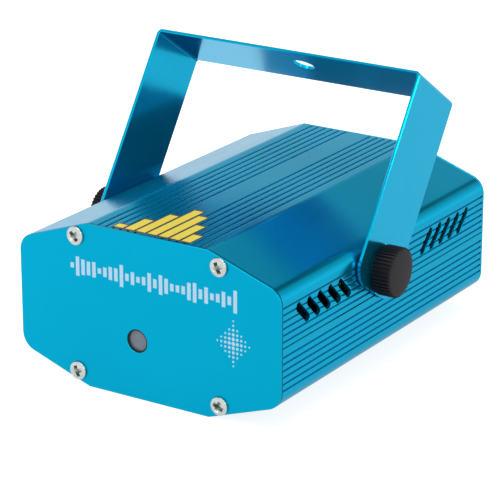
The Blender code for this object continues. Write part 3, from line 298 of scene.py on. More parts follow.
ZINC = metal("zinc_plate", (0.53, 0.56, 0.54), (0.37, 0.40, 0.39), 0.26)
BRASS = metal("turned_brass", (0.82, 0.62, 0.30), (0.66, 0.46, 0.20), 0.3, (1.0, 0.05, 1.0))
MILLED = metal("milled_aluminium", (0.82, 0.83, 0.85), (0.62, 0.63, 0.65), 0.34, (0.05, 1.0, 1.0), 1500.0)
fasteners = [name for name in nodes if "_screw_" in name or "rivet" in name or "stud" in name]
board_posts = [name for name in nodes if name.startswith("board_post")]
dress(ZINC, *fasteners, "clamp_washer_right", "clamp_washer_left", "motor_shaft", "mode_switch")
dress(BRASS, "tripod_nut", "green_laser_module", "red_laser_module", *board_posts)
dress(MILLED, "laser_block", "motor_mount", "grating_motor", "microphone")

# %% [markdown]
# ### Plastics and rubber
#
# Moulded plastic takes the mould's spark-eroded grain, so one fine speckle drives its colour, its
# roughness and its bump. The knobs are a charcoal close to black, with a weak highlight, because a rough
# dark knob that shines turns grey under studio light. Rubber is the same recipe with a finer grain, and
# its near black also colours the ring of painted shade in the window hole.

# %% Plastics
def plastic(name, colour, shade, roughness, grain=2500.0, depth=0.00001, gloss=0.5):
    finish = Finish(name)
    finish.set("Specular IOR Level", gloss)
    speckle = finish.noise(finish.place, grain, 3.0, 0.6)
    finish.tint(speckle, shade, colour)
    finish.set("Roughness", speckle * 0.15 + (roughness - 0.07))
    finish.bump(speckle, depth)
    return finish.material


CHARCOAL = plastic("charcoal_plastic", (0.007, 0.006, 0.010), (0.002, 0.002, 0.003), 0.50,
                   grain=1800.0, depth=0.00002, gloss=0.14)
BLACK = plastic("black_plastic", (0.030, 0.030, 0.033), (0.015, 0.015, 0.017), 0.42)
# Real rubber on the friction washers, and the near black of the painted shade ring in the window hole.
RUBBER_AND_SHADE = plastic("black_rubber", (0.010, 0.010, 0.011), (0.005, 0.005, 0.005), 0.75, grain=3500.0, gloss=0.2)
CLEAR = plastic("clear_plastic", (0.80, 0.84, 0.87), (0.66, 0.72, 0.76), 0.12, grain=400.0, depth=0.000002)
RED = plastic("red_lens", (0.62, 0.02, 0.02), (0.40, 0.01, 0.01), 0.15, grain=600.0, depth=0.000002)
SLEEVE = plastic("lead_sleeve", (0.50, 0.02, 0.02), (0.36, 0.01, 0.01), 0.5)
dress(BLACK, "dc_jack", "mode_slider", "speed_control", "speed_knob", "fan_frame", "fan_rotor")
dress(RUBBER_AND_SHADE, "friction_washer_right", "friction_washer_left")
dress(CLEAR, "grating_wheel", "beam_combiner")
dress(RED, "indicator_light")
dress(SLEEVE, "laser_lead", "motor_lead", "fan_lead")

# %% [markdown]
# ### The window
#
# The beams leave through a small disc behind a round opening. Clear glass would show the dark inside of
# the box, but the picture shows a cloudy grey disc with a shine on it. So it is made as a dark milk with
# a glossy coat on top, which needs no light to travel through it.

# %% Frosted window
frost = Finish("frosted_window", roughness=0.5, coat_weight=0.6)
frost.set("Coat Roughness", 0.08)
milk = frost.noise(frost.place, 900.0, 4.0, 0.7)
frost.tint(milk, (0.045, 0.060, 0.085), (0.085, 0.110, 0.145))
dress(frost.material, "window_glass")

# %% [markdown]
# ### The board
#
# The board is green solder mask over copper. Two sets of stripes, one across and one along, are cut by
# a coarse noise so that they read as tracks.

# %% Circuit board
board = Finish("solder_mask", roughness=0.35)
tracks_across = (board.part(board.place, "X") * 1800.0).wave().over(0.2)
tracks_along = (board.part(board.place, "Y") * 1500.0).wave().over(0.3)
choice = board.noise(board.place, 160.0, 0.0).over(0.5)
tracks = tracks_across * choice + tracks_along * (1 - choice)
board.tint(tracks, (0.008, 0.10, 0.035), (0.02, 0.20, 0.07))
board.bump(tracks, 0.00003)
dress(board.material, "circuit_board")

# %% [markdown]
# ## Making pieces
#
# Every finished piece is a mesh whose object sits at the origin. `place_piece` takes a mesh in
# millimetres in its own comfortable orientation, moves it where it belongs, and names the body that it
# rides on, its finish and the solids that it stands for. Most pieces are blue and on the housing.
# `UPRIGHT` stands a flat outline on its edge, with its face to the front.

# %% Piece helpers
def evaluated(thing, name):
    """The mesh that an object's modifiers or its curve make, and the object is removed."""
    bpy.context.view_layer.update()
    mesh = bpy.data.meshes.new_from_object(thing.evaluated_get(bpy.context.evaluated_depsgraph_get()))
    mesh.name = name
    data = thing.data
    bpy.data.objects.remove(thing)
    if isinstance(data, bpy.types.Curve):
        bpy.data.curves.remove(data)
    return mesh


def place_piece(name, mesh, where, finish, replaces=(), body="housing", sharp=35):
    mesh.transform(where @ Matrix.Scale(MM, 4))
    shape = bmesh.new()
    shape.from_mesh(mesh)
    bmesh.ops.remove_doubles(shape, verts=shape.verts, dist=0.001 * MM)
    bmesh.ops.recalc_face_normals(shape, faces=shape.faces)
    shape.to_mesh(mesh)
    shape.free()
    mesh.materials.clear()
    mesh.materials.append(finish)
    mesh.polygons.foreach_set("material_index", [0] * len(mesh.polygons))
    mesh.shade_smooth()
    mesh.set_sharp_from_angle(angle=math.radians(sharp))
    piece = new_object(name, mesh)
    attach(piece, body)
    if replaces:
        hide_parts(*replaces)
    print(name, len(mesh.polygons), "faces")


def at(x, y, z, turn=Matrix.Identity(4)):
    """A place in millimetres, in the frame."""
    return Matrix.Translation(Vector((x, y, z)) * MM) @ turn


UPRIGHT = Matrix.Rotation(math.pi / 2, 4, "X")
print("piece helpers ready")

# %% [markdown]
# ## The two end plates
#
# A laser-cut plate is a flat outline with holes, and its cut edge is broken by a small chamfer that
# catches the light. A 2D curve makes all of that at once: `extrude` is the thickness, `bevel_depth` the
# chamfer, and a negative `offset` keeps the outline at its real size.

# %% Plate helpers
def arc(x, z, radius, start, end, steps):
    """Points along an arc, from one angle in degrees to another."""
    turns = [math.radians(start + (end - start) * step / steps) for step in range(steps + 1)]
    return [(x + radius * math.cos(turn), z + radius * math.sin(turn)) for turn in turns]


def ring(x, z, radius, steps=48):
    return arc(x, z, radius, 0, 360 - 360 / steps, steps - 1)


def flat_curve(name, outlines, fill):
    """A 2D curve of closed outlines, with or without the area inside."""
    curve = bpy.data.curves.new(name, "CURVE")
    curve.dimensions = "2D"
    curve.fill_mode = fill
    for outline in outlines:
        spline = curve.splines.new("POLY")
        spline.points.add(len(outline) - 1)
        spline.use_cyclic_u = True
        for point, (x, z) in zip(spline.points, outline):
            point.co = (x, z, 0, 1)
    return curve


def chamfered_plate(name, outlines, thickness, chamfer):
    """A flat plate from closed outlines, with every edge broken."""
    curve = flat_curve(name, outlines, "BOTH")
    curve.extrude = thickness / 2 - chamfer
    curve.bevel_depth = chamfer
    curve.bevel_resolution = 0
    curve.offset = -chamfer
    return evaluated(new_object(name, curve), name)


print("plate helpers ready")

# %% [markdown]
# The plates and the extrusions share one section: flat top and base, sloping shoulders, and a rounded
# corner where each shoulder meets the upright side. The angle of the slope follows from the shoulder's
# drop and width, and the corner's arc turns through what is left to a right angle.

# %% Section of the housing
SLOPE = math.degrees(math.atan2(SHOULDER, (WIDTH - FLAT_WIDTH) / 2))
CORNER_TURN = 90 - SLOPE
CORNER_Z = HEIGHT - SHOULDER - CORNER * math.tan(math.radians(CORNER_TURN / 2))
SCREW_X, SCREW_Z, SCREW_HOLE = 25.5, 21.55, 1.45


def plate_outline():
    upper = arc(WIDTH / 2 - CORNER, CORNER_Z, CORNER, 0, CORNER_TURN, 8) + [(FLAT_WIDTH / 2, HEIGHT)]
    right = [(x, HEIGHT - z) for x, z in reversed(upper)] + upper
    return right + [(-x, z) for x, z in reversed(right)]


corner_holes = [ring(x, HEIGHT / 2 + z, SCREW_HOLE, 24)
                for x in (-SCREW_X, SCREW_X) for z in (-SCREW_Z, SCREW_Z)]
print("slope", round(SLOPE, 1), "degrees, plate outline of", len(plate_outline()), "points")

# %% [markdown]
# The front plate has the window's hole below its middle and to the left. From the front one sees a thin
# dark line round the glass, which is the shade in the recess between the plate and the glass. It is painted
# as a black ring that lines the hole: a plate with two outlines, one inside the other.

# %% Front plate
PLATE, FRONT_CHAMFER = 0.8, 0.1
WINDOW_X, WINDOW_Z, WINDOW_RADIUS = -3.75, 18.45, 3.65
# The ring of painted shade: a black ring inside the window hole stands for the shadow in the recess round the
# glass.
SHADE_RING_OUTSIDE, SHADE_RING_INSIDE, SHADE_RING_DEPTH, SHADE_RING_PLACE = 3.62, 3.3, 0.6, 0.42
front_outlines = [plate_outline(), *corner_holes, ring(WINDOW_X, WINDOW_Z, WINDOW_RADIUS)]
front_mesh = chamfered_plate("front_face", front_outlines, PLATE, FRONT_CHAMFER)
place_piece("front_face", front_mesh, at(0, PLATE / 2 - LENGTH / 2, 0, UPRIGHT), BLASTED_BLUE,
            ["front_plate"])
# Painted shade: this black ring in the window hole paints the shadow of the recess round the glass.
shade_ring_outlines = [ring(WINDOW_X, WINDOW_Z, radius) for radius in (SHADE_RING_OUTSIDE, SHADE_RING_INSIDE)]
shade_ring = chamfered_plate("shade_ring", shade_ring_outlines, SHADE_RING_DEPTH, 0.05)
place_piece("window_shade_ring", shade_ring, at(0, SHADE_RING_PLACE - LENGTH / 2, 0, UPRIGHT), RUBBER_AND_SHADE)

# %% [markdown]
# The rear plate has the same outline, and holes for the controls. Its grille slots get shorter towards the
# sides, because together they fill the fan's circle: half a slot's length is the height of the circle at
# that distance. Every round hole is one line of a table, as in a drilling plan.

# %% Rear plate
FAN_X, FAN_Z, FAN_BORE = 27.5, 26.0, 11.3
SLOT_PITCH, SLOT_WIDTH = 4.2, 2.4
DIAL_X, CONTROLS_Z = 0.8, 16.3
SWITCH_LEFT, SWITCH_RIGHT, SWITCH_LOW, SWITCH_HIGH = -21.0, -14.0, 12.0, 15.2
round_holes = {
    "upper fan screw": (FAN_X + 10, FAN_Z + 10, 1.2, 24),
    "lower fan screw": (FAN_X - 10, FAN_Z - 10, 1.2, 24),
    "inlet": (-31.0, CONTROLS_Z, 4.1, 48),
    "indicator light": (-7.8, CONTROLS_Z, 1.65, 24),
    "speed dial": (DIAL_X, CONTROLS_Z, 2.4, 48),
    "microphone": (9.8, 13.8, 1.0, 24),
}
rear_holes = list(corner_holes)
for number in range(-2, 3):
    offset = number * SLOT_PITCH
    half = math.sqrt(FAN_BORE ** 2 - (abs(offset) + SLOT_WIDTH / 2) ** 2) - SLOT_WIDTH / 2
    top_end = arc(FAN_X + offset, FAN_Z + half, SLOT_WIDTH / 2, 0, 180, 8)
    low_end = arc(FAN_X + offset, FAN_Z - half, SLOT_WIDTH / 2, 180, 360, 8)
    rear_holes.append(top_end + low_end)
rear_holes += [ring(*hole) for hole in round_holes.values()]
rear_holes.append([(SWITCH_LEFT, SWITCH_LOW), (SWITCH_RIGHT, SWITCH_LOW), (SWITCH_RIGHT, SWITCH_HIGH),
                   (SWITCH_LEFT, SWITCH_HIGH)])
rear_mesh = chamfered_plate("rear_face", [plate_outline(), *rear_holes], PLATE, 0.15)
place_piece("rear_face", rear_mesh, at(0, LENGTH / 2 - PLATE / 2, 0, UPRIGHT), BLASTED_BLUE, ["rear_plate"])

# %% [markdown]
# ## Geometry nodes for what repeats
#
# A node tree is a machine with named inputs. `run` puts the tree on an object, sets the inputs by their
# identifiers, and keeps the evaluated mesh.

# %% Recipe helper
class Recipe(Graph):
    """A geometry node tree with named inputs."""

    def __init__(self, name, **inputs):
        super().__init__(bpy.data.node_groups.new(name, "GeometryNodeTree"))
        face = self.tree.interface
        face.new_socket("Geometry", in_out="OUTPUT", socket_type="NodeSocketGeometry")
        face.new_socket("Geometry", in_out="INPUT", socket_type="NodeSocketGeometry")
        self.keys = {}
        for label, value in inputs.items():
            kind = "NodeSocketInt" if isinstance(value, int) else "NodeSocketFloat"
            socket = face.new_socket(label, in_out="INPUT", socket_type=kind)
            socket.default_value = value
            self.keys[label] = socket.identifier
        self.start = self.tree.nodes.new("NodeGroupInput")

    def given(self, label="Geometry"):
        return Signal(self, self.start, label)

    def vector(self, x, y, z):
        return self.add("ShaderNodeCombineXYZ", {}, {0: x, 1: y, 2: z})

    def copies(self, points, instance, **more):
        """A copy of one thing on each point."""
        inputs = {"Points": points, "Instance": instance, **more}
        return self.add("GeometryNodeInstanceOnPoints", {}, inputs)

    def fillet(self, curve, radius, count):
        """A curve with its corners rounded, by so many points each."""
        inputs = {"Curve": curve, "Count": count, "Radius": radius}
        return self.add("GeometryNodeFilletCurve", {"mode": "POLY"}, inputs)

    def sweep(self, path, profile, normal):
        """A profile pushed along a path, with closed ends."""
        aimed = self.add("GeometryNodeSetCurveNormal", {"mode": "FREE"}, {"Curve": path, "Normal": normal})
        inputs = {"Curve": aimed, "Profile Curve": profile, "Fill Caps": True}
        return self.add("GeometryNodeCurveToMesh", {}, inputs)

    def finish(self, geometry, material):
        real = self.add("GeometryNodeRealizeInstances", {}, {0: geometry})
        dressed = self.add("GeometryNodeSetMaterial", {}, {"Geometry": real, "Material": material})
        end = self.tree.nodes.new("NodeGroupOutput")
        self.feed(end.inputs[0], dressed)
        print("recipe", self.tree.name, "takes", list(self.keys))

    def run(self, name, thing, **inputs):
        """Run the tree on an object and keep the mesh that comes out."""
        modifier = thing.modifiers.new("Recipe", "NODES")
        modifier.node_group = self.tree
        for label, value in inputs.items():
            modifier[self.keys[label]] = value
        return evaluated(thing, name)


print("recipe helper ready")

# %% [markdown]
# Three kinds of mesh are quicker to write point by point, with bmesh: a turned shape, a shape through a
# row of rings, and several meshes put together as one.

# %% Mesh helpers
def as_mesh(name, shape):
    """The mesh of a bmesh, which is freed."""
    mesh = bpy.data.meshes.new(name)
    shape.to_mesh(mesh)
    shape.free()
    return mesh


def turned(name, profile, steps):
    """A turned mesh about Z from (radius, height) points, top first."""
    shape = bmesh.new()
    verts = [shape.verts.new((radius, 0, height)) for radius, height in profile]
    for first, second in zip(verts, verts[1:]):
        shape.edges.new((first, second))
    everything = shape.verts[:] + shape.edges[:]
    bmesh.ops.spin(shape, geom=everything, cent=(0, 0, 0), axis=(0, 0, 1), angle=2 * math.pi, steps=steps)
    bmesh.ops.remove_doubles(shape, verts=shape.verts, dist=0.0001)
    bmesh.ops.recalc_face_normals(shape, faces=shape.faces)
    return as_mesh(name, shape)


def merged(name, *meshes):
    """Several meshes as one."""
    shape = bmesh.new()
    for mesh in meshes:
        shape.from_mesh(mesh)
    return as_mesh(name, shape)


def loft(name, rings):
    """A closed mesh through rings of points."""
    shape = bmesh.new()
    loops = [[shape.verts.new(point) for point in points] for points in rings]
    for first, second in zip(loops, loops[1:]):
        for step in range(len(first)):
            after = (step + 1) % len(first)
            shape.faces.new((first[step], first[after], second[after], second[step]))
    shape.faces.new(list(reversed(loops[0])))
    shape.faces.new(loops[-1])
    bmesh.ops.recalc_face_normals(shape, faces=shape.faces)
    return as_mesh(name, shape)


print("mesh helpers ready")

# %% [markdown]
# ## The two extrusions
#
# The case is two lengths of one extruded profile that meet half way up the side. A profile pushed along a
# straight line is the simplest rule of all, so the outline is worked out here point by point, and a
# recipe sweeps it. Every groove is a small U with rounded lips. Beside each bend lies one extra point:
# smooth shading blends across a face, and a narrow face keeps that blend away from the flats.

# %% Extrusion outline
SEAM, WALL, GROOVES = 26.4, 1.4, 6
SIDE_GROOVE, TOP_GROOVE = (0.60, 0.50), (0.85, 0.62)
LOWEST_GROOVE_UP, HIGHEST_GROOVE_DOWN = 2.35, 0.64
TOP_GROOVE_START, TOP_GROOVE_PITCH = 4.7, 2.62


def further(point, direction, distance):
    """A point moved along a direction."""
    return (point[0] + distance * direction[0], point[1] + distance * direction[1])


def groove(x, z, along, width, depth):
    """Points of a U groove across a path that runs in the direction `along`; the body lies to its left."""
    half = width / 2
    inward = (-along[1], along[0])
    lip = [(-half - 0.3, 0.0), (-half - 0.1, 0.0), (-half - 0.03, 0.03), (-half, 0.1)]
    steps = lip + [(-half + 0.05, depth - 0.12), (-half + 0.17, depth)]
    steps += [(-go, deep) for go, deep in reversed(steps)]
    return [further(further((x, z), along, go), inward, deep) for go, deep in steps]


def shell_outline():
    """The upper shell's section: right side, over the top, left side, and back along the inside."""
    side, edge = WIDTH / 2, FLAT_WIDTH / 2
    lowest, highest = HEIGHT / 2 + LOWEST_GROOVE_UP, CORNER_Z - HIGHEST_GROOVE_DOWN
    right = [(side - 0.15, SEAM + 0.1), (side, SEAM + 0.25), (side, SEAM + 0.45)]
    for number in range(GROOVES):
        right += groove(side, lowest + (highest - lowest) * number / (GROOVES - 1), (0, 1), *SIDE_GROOVE)
    right += arc(side - CORNER, CORNER_Z, CORNER, 0, CORNER_TURN, 12)
    up_slope = (-math.cos(math.radians(SLOPE)), math.sin(math.radians(SLOPE)))
    right.append(further(right[-1], up_slope, 0.3))
    right += [further((edge, HEIGHT), up_slope, go) for go in (-0.9, -0.6)]
    right += [(edge - 0.1, HEIGHT - 0.07), (edge - 0.6, HEIGHT), (edge - 0.9, HEIGHT)]
    for number in reversed(range(GROOVES)):
        right += groove(TOP_GROOVE_START + number * TOP_GROOVE_PITCH, HEIGHT, (-1, 0), *TOP_GROOVE)
    inside = [(side - WALL, SEAM + 0.1), (side - WALL, CORNER_Z), (side - WALL - 1.6, CORNER_Z + 3.4),
              (edge - 0.3, HEIGHT - WALL)]
    outside = right + [(-x, z) for x, z in reversed(right)]
    return outside + [(-x, z) for x, z in inside] + list(reversed(inside))


upper_outline = shell_outline()
print("outline of", len(upper_outline), "points")

# %% [markdown]
# The recipe pushes the outline along a line as long as the shell. A straight line has no bend to tell
# Blender which way is up, so the normal is given.

# %% Extrusion recipe
SHELL_LENGTH = 121.0
extrusion = Recipe("extrusion", Length=SHELL_LENGTH)
half_length = extrusion.given("Length") / 2
line_ends = {"Start": extrusion.vector(0.0, half_length, 0.0),
             "End": extrusion.vector(0.0, -1 * half_length, 0.0)}
push_line = extrusion.add("GeometryNodeCurvePrimitiveLine", {}, line_ends)
extrusion.finish(extrusion.sweep(push_line, extrusion.given(), (1.0, 0.0, 0.0)), BRUSHED_BLUE)

# %% [markdown]
# ### Vents
#
# The vents are punched slots that lean 46 degrees, away from the bracket on both sides of it. Each cutter
# is a loft through three slot outlines. The outermost is wider, so the cutter flares where it leaves the
# metal, which breaks the edge of the slot as deburring does.

# %% Slot and hole cutters
VENT_LENGTH, VENT_WIDTH, VENT_LEAN = 9.6, 2.6, math.radians(46)
VENT_FLARE = ((46.8, 0.7), (46.2, 0.0), (38.0, 0.0))


def slot_ring(x, grow, lean):
    """A slot outline in the plane at x, grown all round."""
    along = Vector((math.sin(lean), math.cos(lean)))
    start = math.atan2(along.y, along.x) - math.pi / 2
    radius = VENT_WIDTH / 2 + grow
    points = []
    for end_sign, half_turn in ((1, 0), (-1, math.pi)):
        middle = along * end_sign * (VENT_LENGTH - VENT_WIDTH) / 2
        for step in range(9):
            turn = start + math.pi * step / 8 + half_turn
            points.append((x, middle.x + radius * math.cos(turn), middle.y + radius * math.sin(turn)))
    return points


def drill(x, y, z, radius, turn=Matrix.Identity(4)):
    """A round cutter centred on a point, upright unless it is turned."""
    shape = bmesh.new()
    bmesh.ops.create_cone(shape, cap_ends=True, segments=32, radius1=radius, radius2=radius, depth=6.0,
                          matrix=Matrix.Translation((x, y, z)) @ turn)
    return as_mesh("drill", shape)


print("slot of", len(slot_ring(0, 0, VENT_LEAN)), "points")

# %% [markdown]
# A recipe repeats the cutter along the shell, once for each of the four groups of five. All the cutters
# are kept in one list, so that one Boolean takes the twenty slots and both bolt holes out together.

# %% Rows of vents
VENTS, VENT_PITCH = 5, 5.85
VENT_OFFSET, VENT_SHIFT, VENT_Z = 36.5, 0.95, 34.2
CLAMP_HOLE = 3.2
SIDEWAYS = Matrix.Rotation(math.pi / 2, 4, "Y")
vent_row = Recipe("row", Count=VENTS, Pitch=VENT_PITCH)
count, pitch = vent_row.given("Count"), vent_row.given("Pitch")
first_vent = vent_row.vector(0.0, (count - 1) * pitch / -2, 0.0)
vent_line = {"Count": count, "Start Location": first_vent, "Offset": vent_row.vector(0.0, pitch, 0.0)}
vent_points = vent_row.add("GeometryNodeMeshLine", {}, vent_line)
vent_row.finish(vent_row.copies(vent_points, vent_row.given()), BRUSHED_BLUE)
cutters = []
for sign in (-1, 1):
    cutters.append(drill(sign * WIDTH / 2, PIVOT.y, PIVOT.z, CLAMP_HOLE, SIDEWAYS))
    for group in (-1, 1):
        rings = [slot_ring(sign * x, grow, group * VENT_LEAN) for x, grow in VENT_FLARE]
        slots = vent_row.run("slots", new_object("slot", loft("slot", rings)), Count=VENTS, Pitch=VENT_PITCH)
        slots.transform(Matrix.Translation((0, group * VENT_OFFSET - VENT_SHIFT, VENT_Z)))
        cutters.append(slots)
print(len(cutters), "groups of cutters")

# %% [markdown]
# ### Upper and lower shell
#
# The lower shell is the same profile turned over. The seam lies a little above the middle of the box, so
# points near it are mirrored in the seam, and all others in the middle. The floor is drilled for the
# tripod nut and for four small screws.

# %% Shells
TRIPOD_Y, TRIPOD_HOLE = 12, 4.6
FLOOR_SCREWS, FLOOR_SCREW_HOLE = ((-12.25, -40.1), (4.75, -40.1), (-17, -26.5), (-17, -7.5)), 1.15


def cut_out(mesh, cutter_mesh, crossing=False):
    """A mesh with another taken out of it; `crossing` is for a cutter whose own parts cross."""
    body = new_object("body", mesh)
    cutter = new_object("cutter", cutter_mesh)
    cut = body.modifiers.new("Cut", "BOOLEAN")
    cut.object = cutter
    cut.solver = "EXACT"
    cut.use_self = crossing
    result = evaluated(body, mesh.name)
    bpy.data.objects.remove(cutter)
    return result


floor_holes = [drill(0, TRIPOD_Y, WALL / 2, TRIPOD_HOLE)]
floor_holes += [drill(x, y, WALL / 2, FLOOR_SCREW_HOLE) for x, y in FLOOR_SCREWS]
lower_outline = [(x, HEIGHT - z) if z >= SEAM + 1 else (x, 2 * SEAM - z) for x, z in upper_outline]
for shell, outline, holes in (("upper", upper_outline, cutters), ("lower", lower_outline, floor_holes)):
    section = new_object("outline", flat_curve("outline", [outline], "NONE"))
    case = cut_out(extrusion.run(shell + "_extrusion", section), merged("holes", *holes))
    place_piece(shell + "_case", case, Matrix.Identity(4), BRUSHED_BLUE, [shell + "_shell"], sharp=40)

# %% [markdown]
# ### Case screws
#
# A pan-head cross screw is a turned dome with a cross recess cut by two wedges that narrow towards the
# bottom. The wedges cross each other, so the Boolean has to allow for a cutter that overlaps itself.

# %% One screw
HEAD, HEAD_RISE, EDGE_SHARE = 2.9, 1.05, 0.35
SHANK, SHANK_END, POINT_END = 1.25, -7.4, -8.4
RECESS_LENGTH = 4.2


def wedge(shape, width, depth):
    """A tapered arm of the cross recess, measured down from the top of the head."""
    made = bmesh.ops.create_cube(shape, size=1.0)["verts"]
    for vert in made:
        low = vert.co.z < 0
        vert.co.x *= RECESS_LENGTH * (0.35 if low else 1.0)
        vert.co.y *= width * (0.75 if low else 1.0)
        vert.co.z = HEAD_RISE - depth if low else HEAD_RISE + 0.4
    return made


turns = [math.radians(15 * step) for step in range(7)]
dome = [(HEAD * math.sin(turn), HEAD_RISE * (EDGE_SHARE + (1 - EDGE_SHARE) * math.cos(turn)))
        for turn in turns]
shank = [(HEAD, 0.0), (SHANK, 0.0), (SHANK, SHANK_END), (0.0, POINT_END)]
recess = bmesh.new()
wedge(recess, 1.35, 1.9)
second_arm = wedge(recess, 1.38, 1.87)
bmesh.ops.rotate(recess, verts=second_arm, cent=(0, 0, 0), matrix=Matrix.Rotation(math.pi / 2, 3, "Z"))
bmesh.ops.recalc_face_normals(recess, faces=recess.faces)
screw_mesh = cut_out(turned("cross_screw", dome + shank, 40), as_mesh("recess", recess), crossing=True)
print("one screw:", len(screw_mesh.polygons), "faces")

# %% [markdown]
# The screw is made once, and a recipe sets a copy on each corner of a 2 by 2 grid. Each copy is turned by
# its own random angle from a fixed seed, because nobody lines screws up.

# %% Screws on their corners
corners = Recipe("corner_screws", Across=2 * SCREW_X, Up=2 * SCREW_Z, Seed=3)
grid_sizes = {"Size X": corners.given("Across"), "Size Y": corners.given("Up"),
              "Vertices X": 2, "Vertices Y": 2}
grid = corners.add("GeometryNodeMeshGrid", {}, grid_sizes)
seed = corners.given("Seed")
any_turn = corners.add("FunctionNodeRandomValue", {}, {2: 0.0, 3: math.pi / 2, "Seed": seed}, 1)
screw_turn = corners.add("FunctionNodeEulerToRotation", {}, {0: corners.vector(0.0, 0.0, any_turn)})
corners.finish(corners.copies(grid, corners.given(), Rotation=screw_turn), ZINC)
for end, sign in (("front", -1), ("rear", 1)):
    four_screws = corners.run(end + "_case_screws", new_object("screws", screw_mesh.copy()), Seed=3 + sign)
    where = at(0, sign * (LENGTH / 2 + 0.1), HEIGHT / 2, Matrix.Rotation(-sign * math.pi / 2, 4, "X"))
    names = [name for name in nodes if name.startswith(end + "_plate_screw")]
    place_piece(end + "_case_screws", four_screws, where, ZINC, names, sharp=30)

# %% [markdown]
# ## The bracket
#
# The bracket is one strip that follows a path: up one leg, round a tight bend, across, round another
# bend and down. In geometry nodes that is a curve with four points, rounded at its two bends, and a flat
# rectangle pushed along it. Mesh Boolean then rounds the feet and drills the holes.

# %% Bracket path
TILT = math.radians(34)
REACH, FOOT, STRIP, LEG_INSIDE = 59.0, 7.5, 1.0, 47.0
middle_x, middle_z = LEG_INSIDE + STRIP / 2, REACH - STRIP / 2
path_points = [(-middle_x, -FOOT), (-middle_x, middle_z), (middle_x, middle_z), (middle_x, -FOOT)]
path_data = bpy.data.curves.new("bracket_path", "CURVE")
path_data.dimensions = "3D"
path_spline = path_data.splines.new("POLY")
path_spline.points.add(len(path_points) - 1)
for point, (x, z) in zip(path_spline.points, path_points):
    point.co = (x, 0, z, 1)
bracket_path = new_object("bracket_path", path_data)
print("path of", 2 * (middle_z + FOOT) + 2 * middle_x, "mm")

# %% [markdown]
# The strip's sheared edges are broken by a fillet of its flat profile, and that small slope shows as a
# bright line along the legs. What lies inside a prism is kept: a side view of the bracket, pushed across
# it. Only its lower corners matter, so it is far higher than the bracket.

# %% Strip and feet
EDGE_BREAK, PRISM_HEIGHT, PRISM_HALF = 0.24, 200.0, 60.0
strip = Recipe("bent_strip", Width=26.0, Thickness=STRIP, Bend=1.2, Foot_radius=7.0, Hole=3.6, Hole_x=1.8,
               Hole_y=-2.5)
width = strip.given("Width")
bent = strip.fillet(strip.given(), strip.given("Bend"), 6)
flat_sizes = {"Width": width, "Height": strip.given("Thickness")}
flat = strip.add("GeometryNodeCurvePrimitiveQuadrilateral", {}, flat_sizes)
swept = strip.sweep(bent, strip.fillet(flat, EDGE_BREAK, 1), (0.0, 1.0, 0.0))
side_sizes = {"Width": width + 0.02, "Height": PRISM_HEIGHT}
side_view = strip.add("GeometryNodeCurvePrimitiveQuadrilateral", {}, side_sizes)
side_view = strip.fillet(side_view, strip.given("Foot_radius"), 10)
prism_z = PRISM_HEIGHT / 2 - FOOT
prism_ends = {"Start": (-PRISM_HALF, 0.0, prism_z), "End": (PRISM_HALF, 0.0, prism_z)}
prism_line = strip.add("GeometryNodeCurvePrimitiveLine", {}, prism_ends)
prism = strip.sweep(prism_line, side_view, (0.0, 1.0, 0.0))
trimmed = strip.add("GeometryNodeMeshBoolean", {"operation": "INTERSECT", "solver": "EXACT"},
                    {"Mesh 2": [swept, prism]})
print("strip swept and trimmed")

# %% [markdown]
# Two cylinders drill the strip: a short one for the hole in the crossbar, which is off centre as in the
# picture, and a long one through both feet for the clamp studs.

# %% Holes and bracket
STUD_HOLE, STUD_DRILL = 2.2, 120.0
hang_sizes = {"Vertices": 48, "Radius": strip.given("Hole"), "Depth": 6.0}
hang_place = strip.vector(strip.given("Hole_x"), strip.given("Hole_y"), REACH)
hang = strip.add("GeometryNodeMeshCylinder", {}, hang_sizes)
hang = strip.add("GeometryNodeTransform", {}, {"Geometry": hang, "Translation": hang_place})
studs = strip.add("GeometryNodeMeshCylinder", {}, {"Vertices": 32, "Radius": STUD_HOLE, "Depth": STUD_DRILL})
studs = strip.add("GeometryNodeTransform", {}, {"Geometry": studs, "Rotation": Euler((0, math.pi / 2, 0))})
drilled = strip.add("GeometryNodeMeshBoolean", {"operation": "DIFFERENCE", "solver": "EXACT"},
                    {"Mesh 1": trimmed, "Mesh 2": [hang, studs]})
strip.finish(drilled, STRIP_BLUE)
bracket_place = at(*PIVOT, Matrix.Rotation(-TILT, 4, "X"))
place_piece("bracket_strip", strip.run("bracket_strip", bracket_path), bracket_place, STRIP_BLUE,
            ["bracket"], body="bracket", sharp=20)

# %% [markdown]
# ## Clamp knobs
#
# A knurled thumb knob has a domed face with a soft edge, and straight ribs round the rim so that wet
# fingers can turn it. One rib is modelled, and a recipe sets 40 of them round the axis. The same recipe
# sets the tick marks round the speed dial later on, because both are one shape repeated by a fixed angle.

# %% Around recipe
RIBS = 40
around = Recipe("around", Count=RIBS, Step=360.0 / RIBS, Start=0.0)
spots = around.add("GeometryNodePoints", {}, {"Count": around.given("Count")})
index = around.add("GeometryNodeInputIndex")
angle = (index * around.given("Step") + around.given("Start")) * math.radians(1)
spun = around.add("FunctionNodeEulerToRotation", {}, {0: around.vector(0.0, 0.0, angle)})
around.finish(around.copies(spots, around.given(), Rotation=spun), CHARCOAL)

# %% [markdown]
# The body of the knob is turned from its face inwards, with a blind hole at the back for the stud. A rib
# is a loft along the axis whose crest rises and falls at both ends, so that its ends are soft as well.

# %% Knobs
KNOB, KNOB_BASE = 7.8, 48.7
RIB_CRESTS = ((0.15, 7.3), (0.4, 7.65), (0.8, KNOB), (5.7, KNOB), (6.0, 7.7), (6.15, 7.4))
KNOB_FACE = [(0.0, 6.5), (2.0, 6.48), (4.0, 6.42), (6.0, 6.32), (6.8, 6.24), (7.1, 6.16), (7.22, 6.02),
             (7.24, 5.8), (7.28, 5.6), (7.28, 0.4), (7.0, 0.0), (2.2, 0.0), (2.2, 5.0), (0.0, 5.0)]


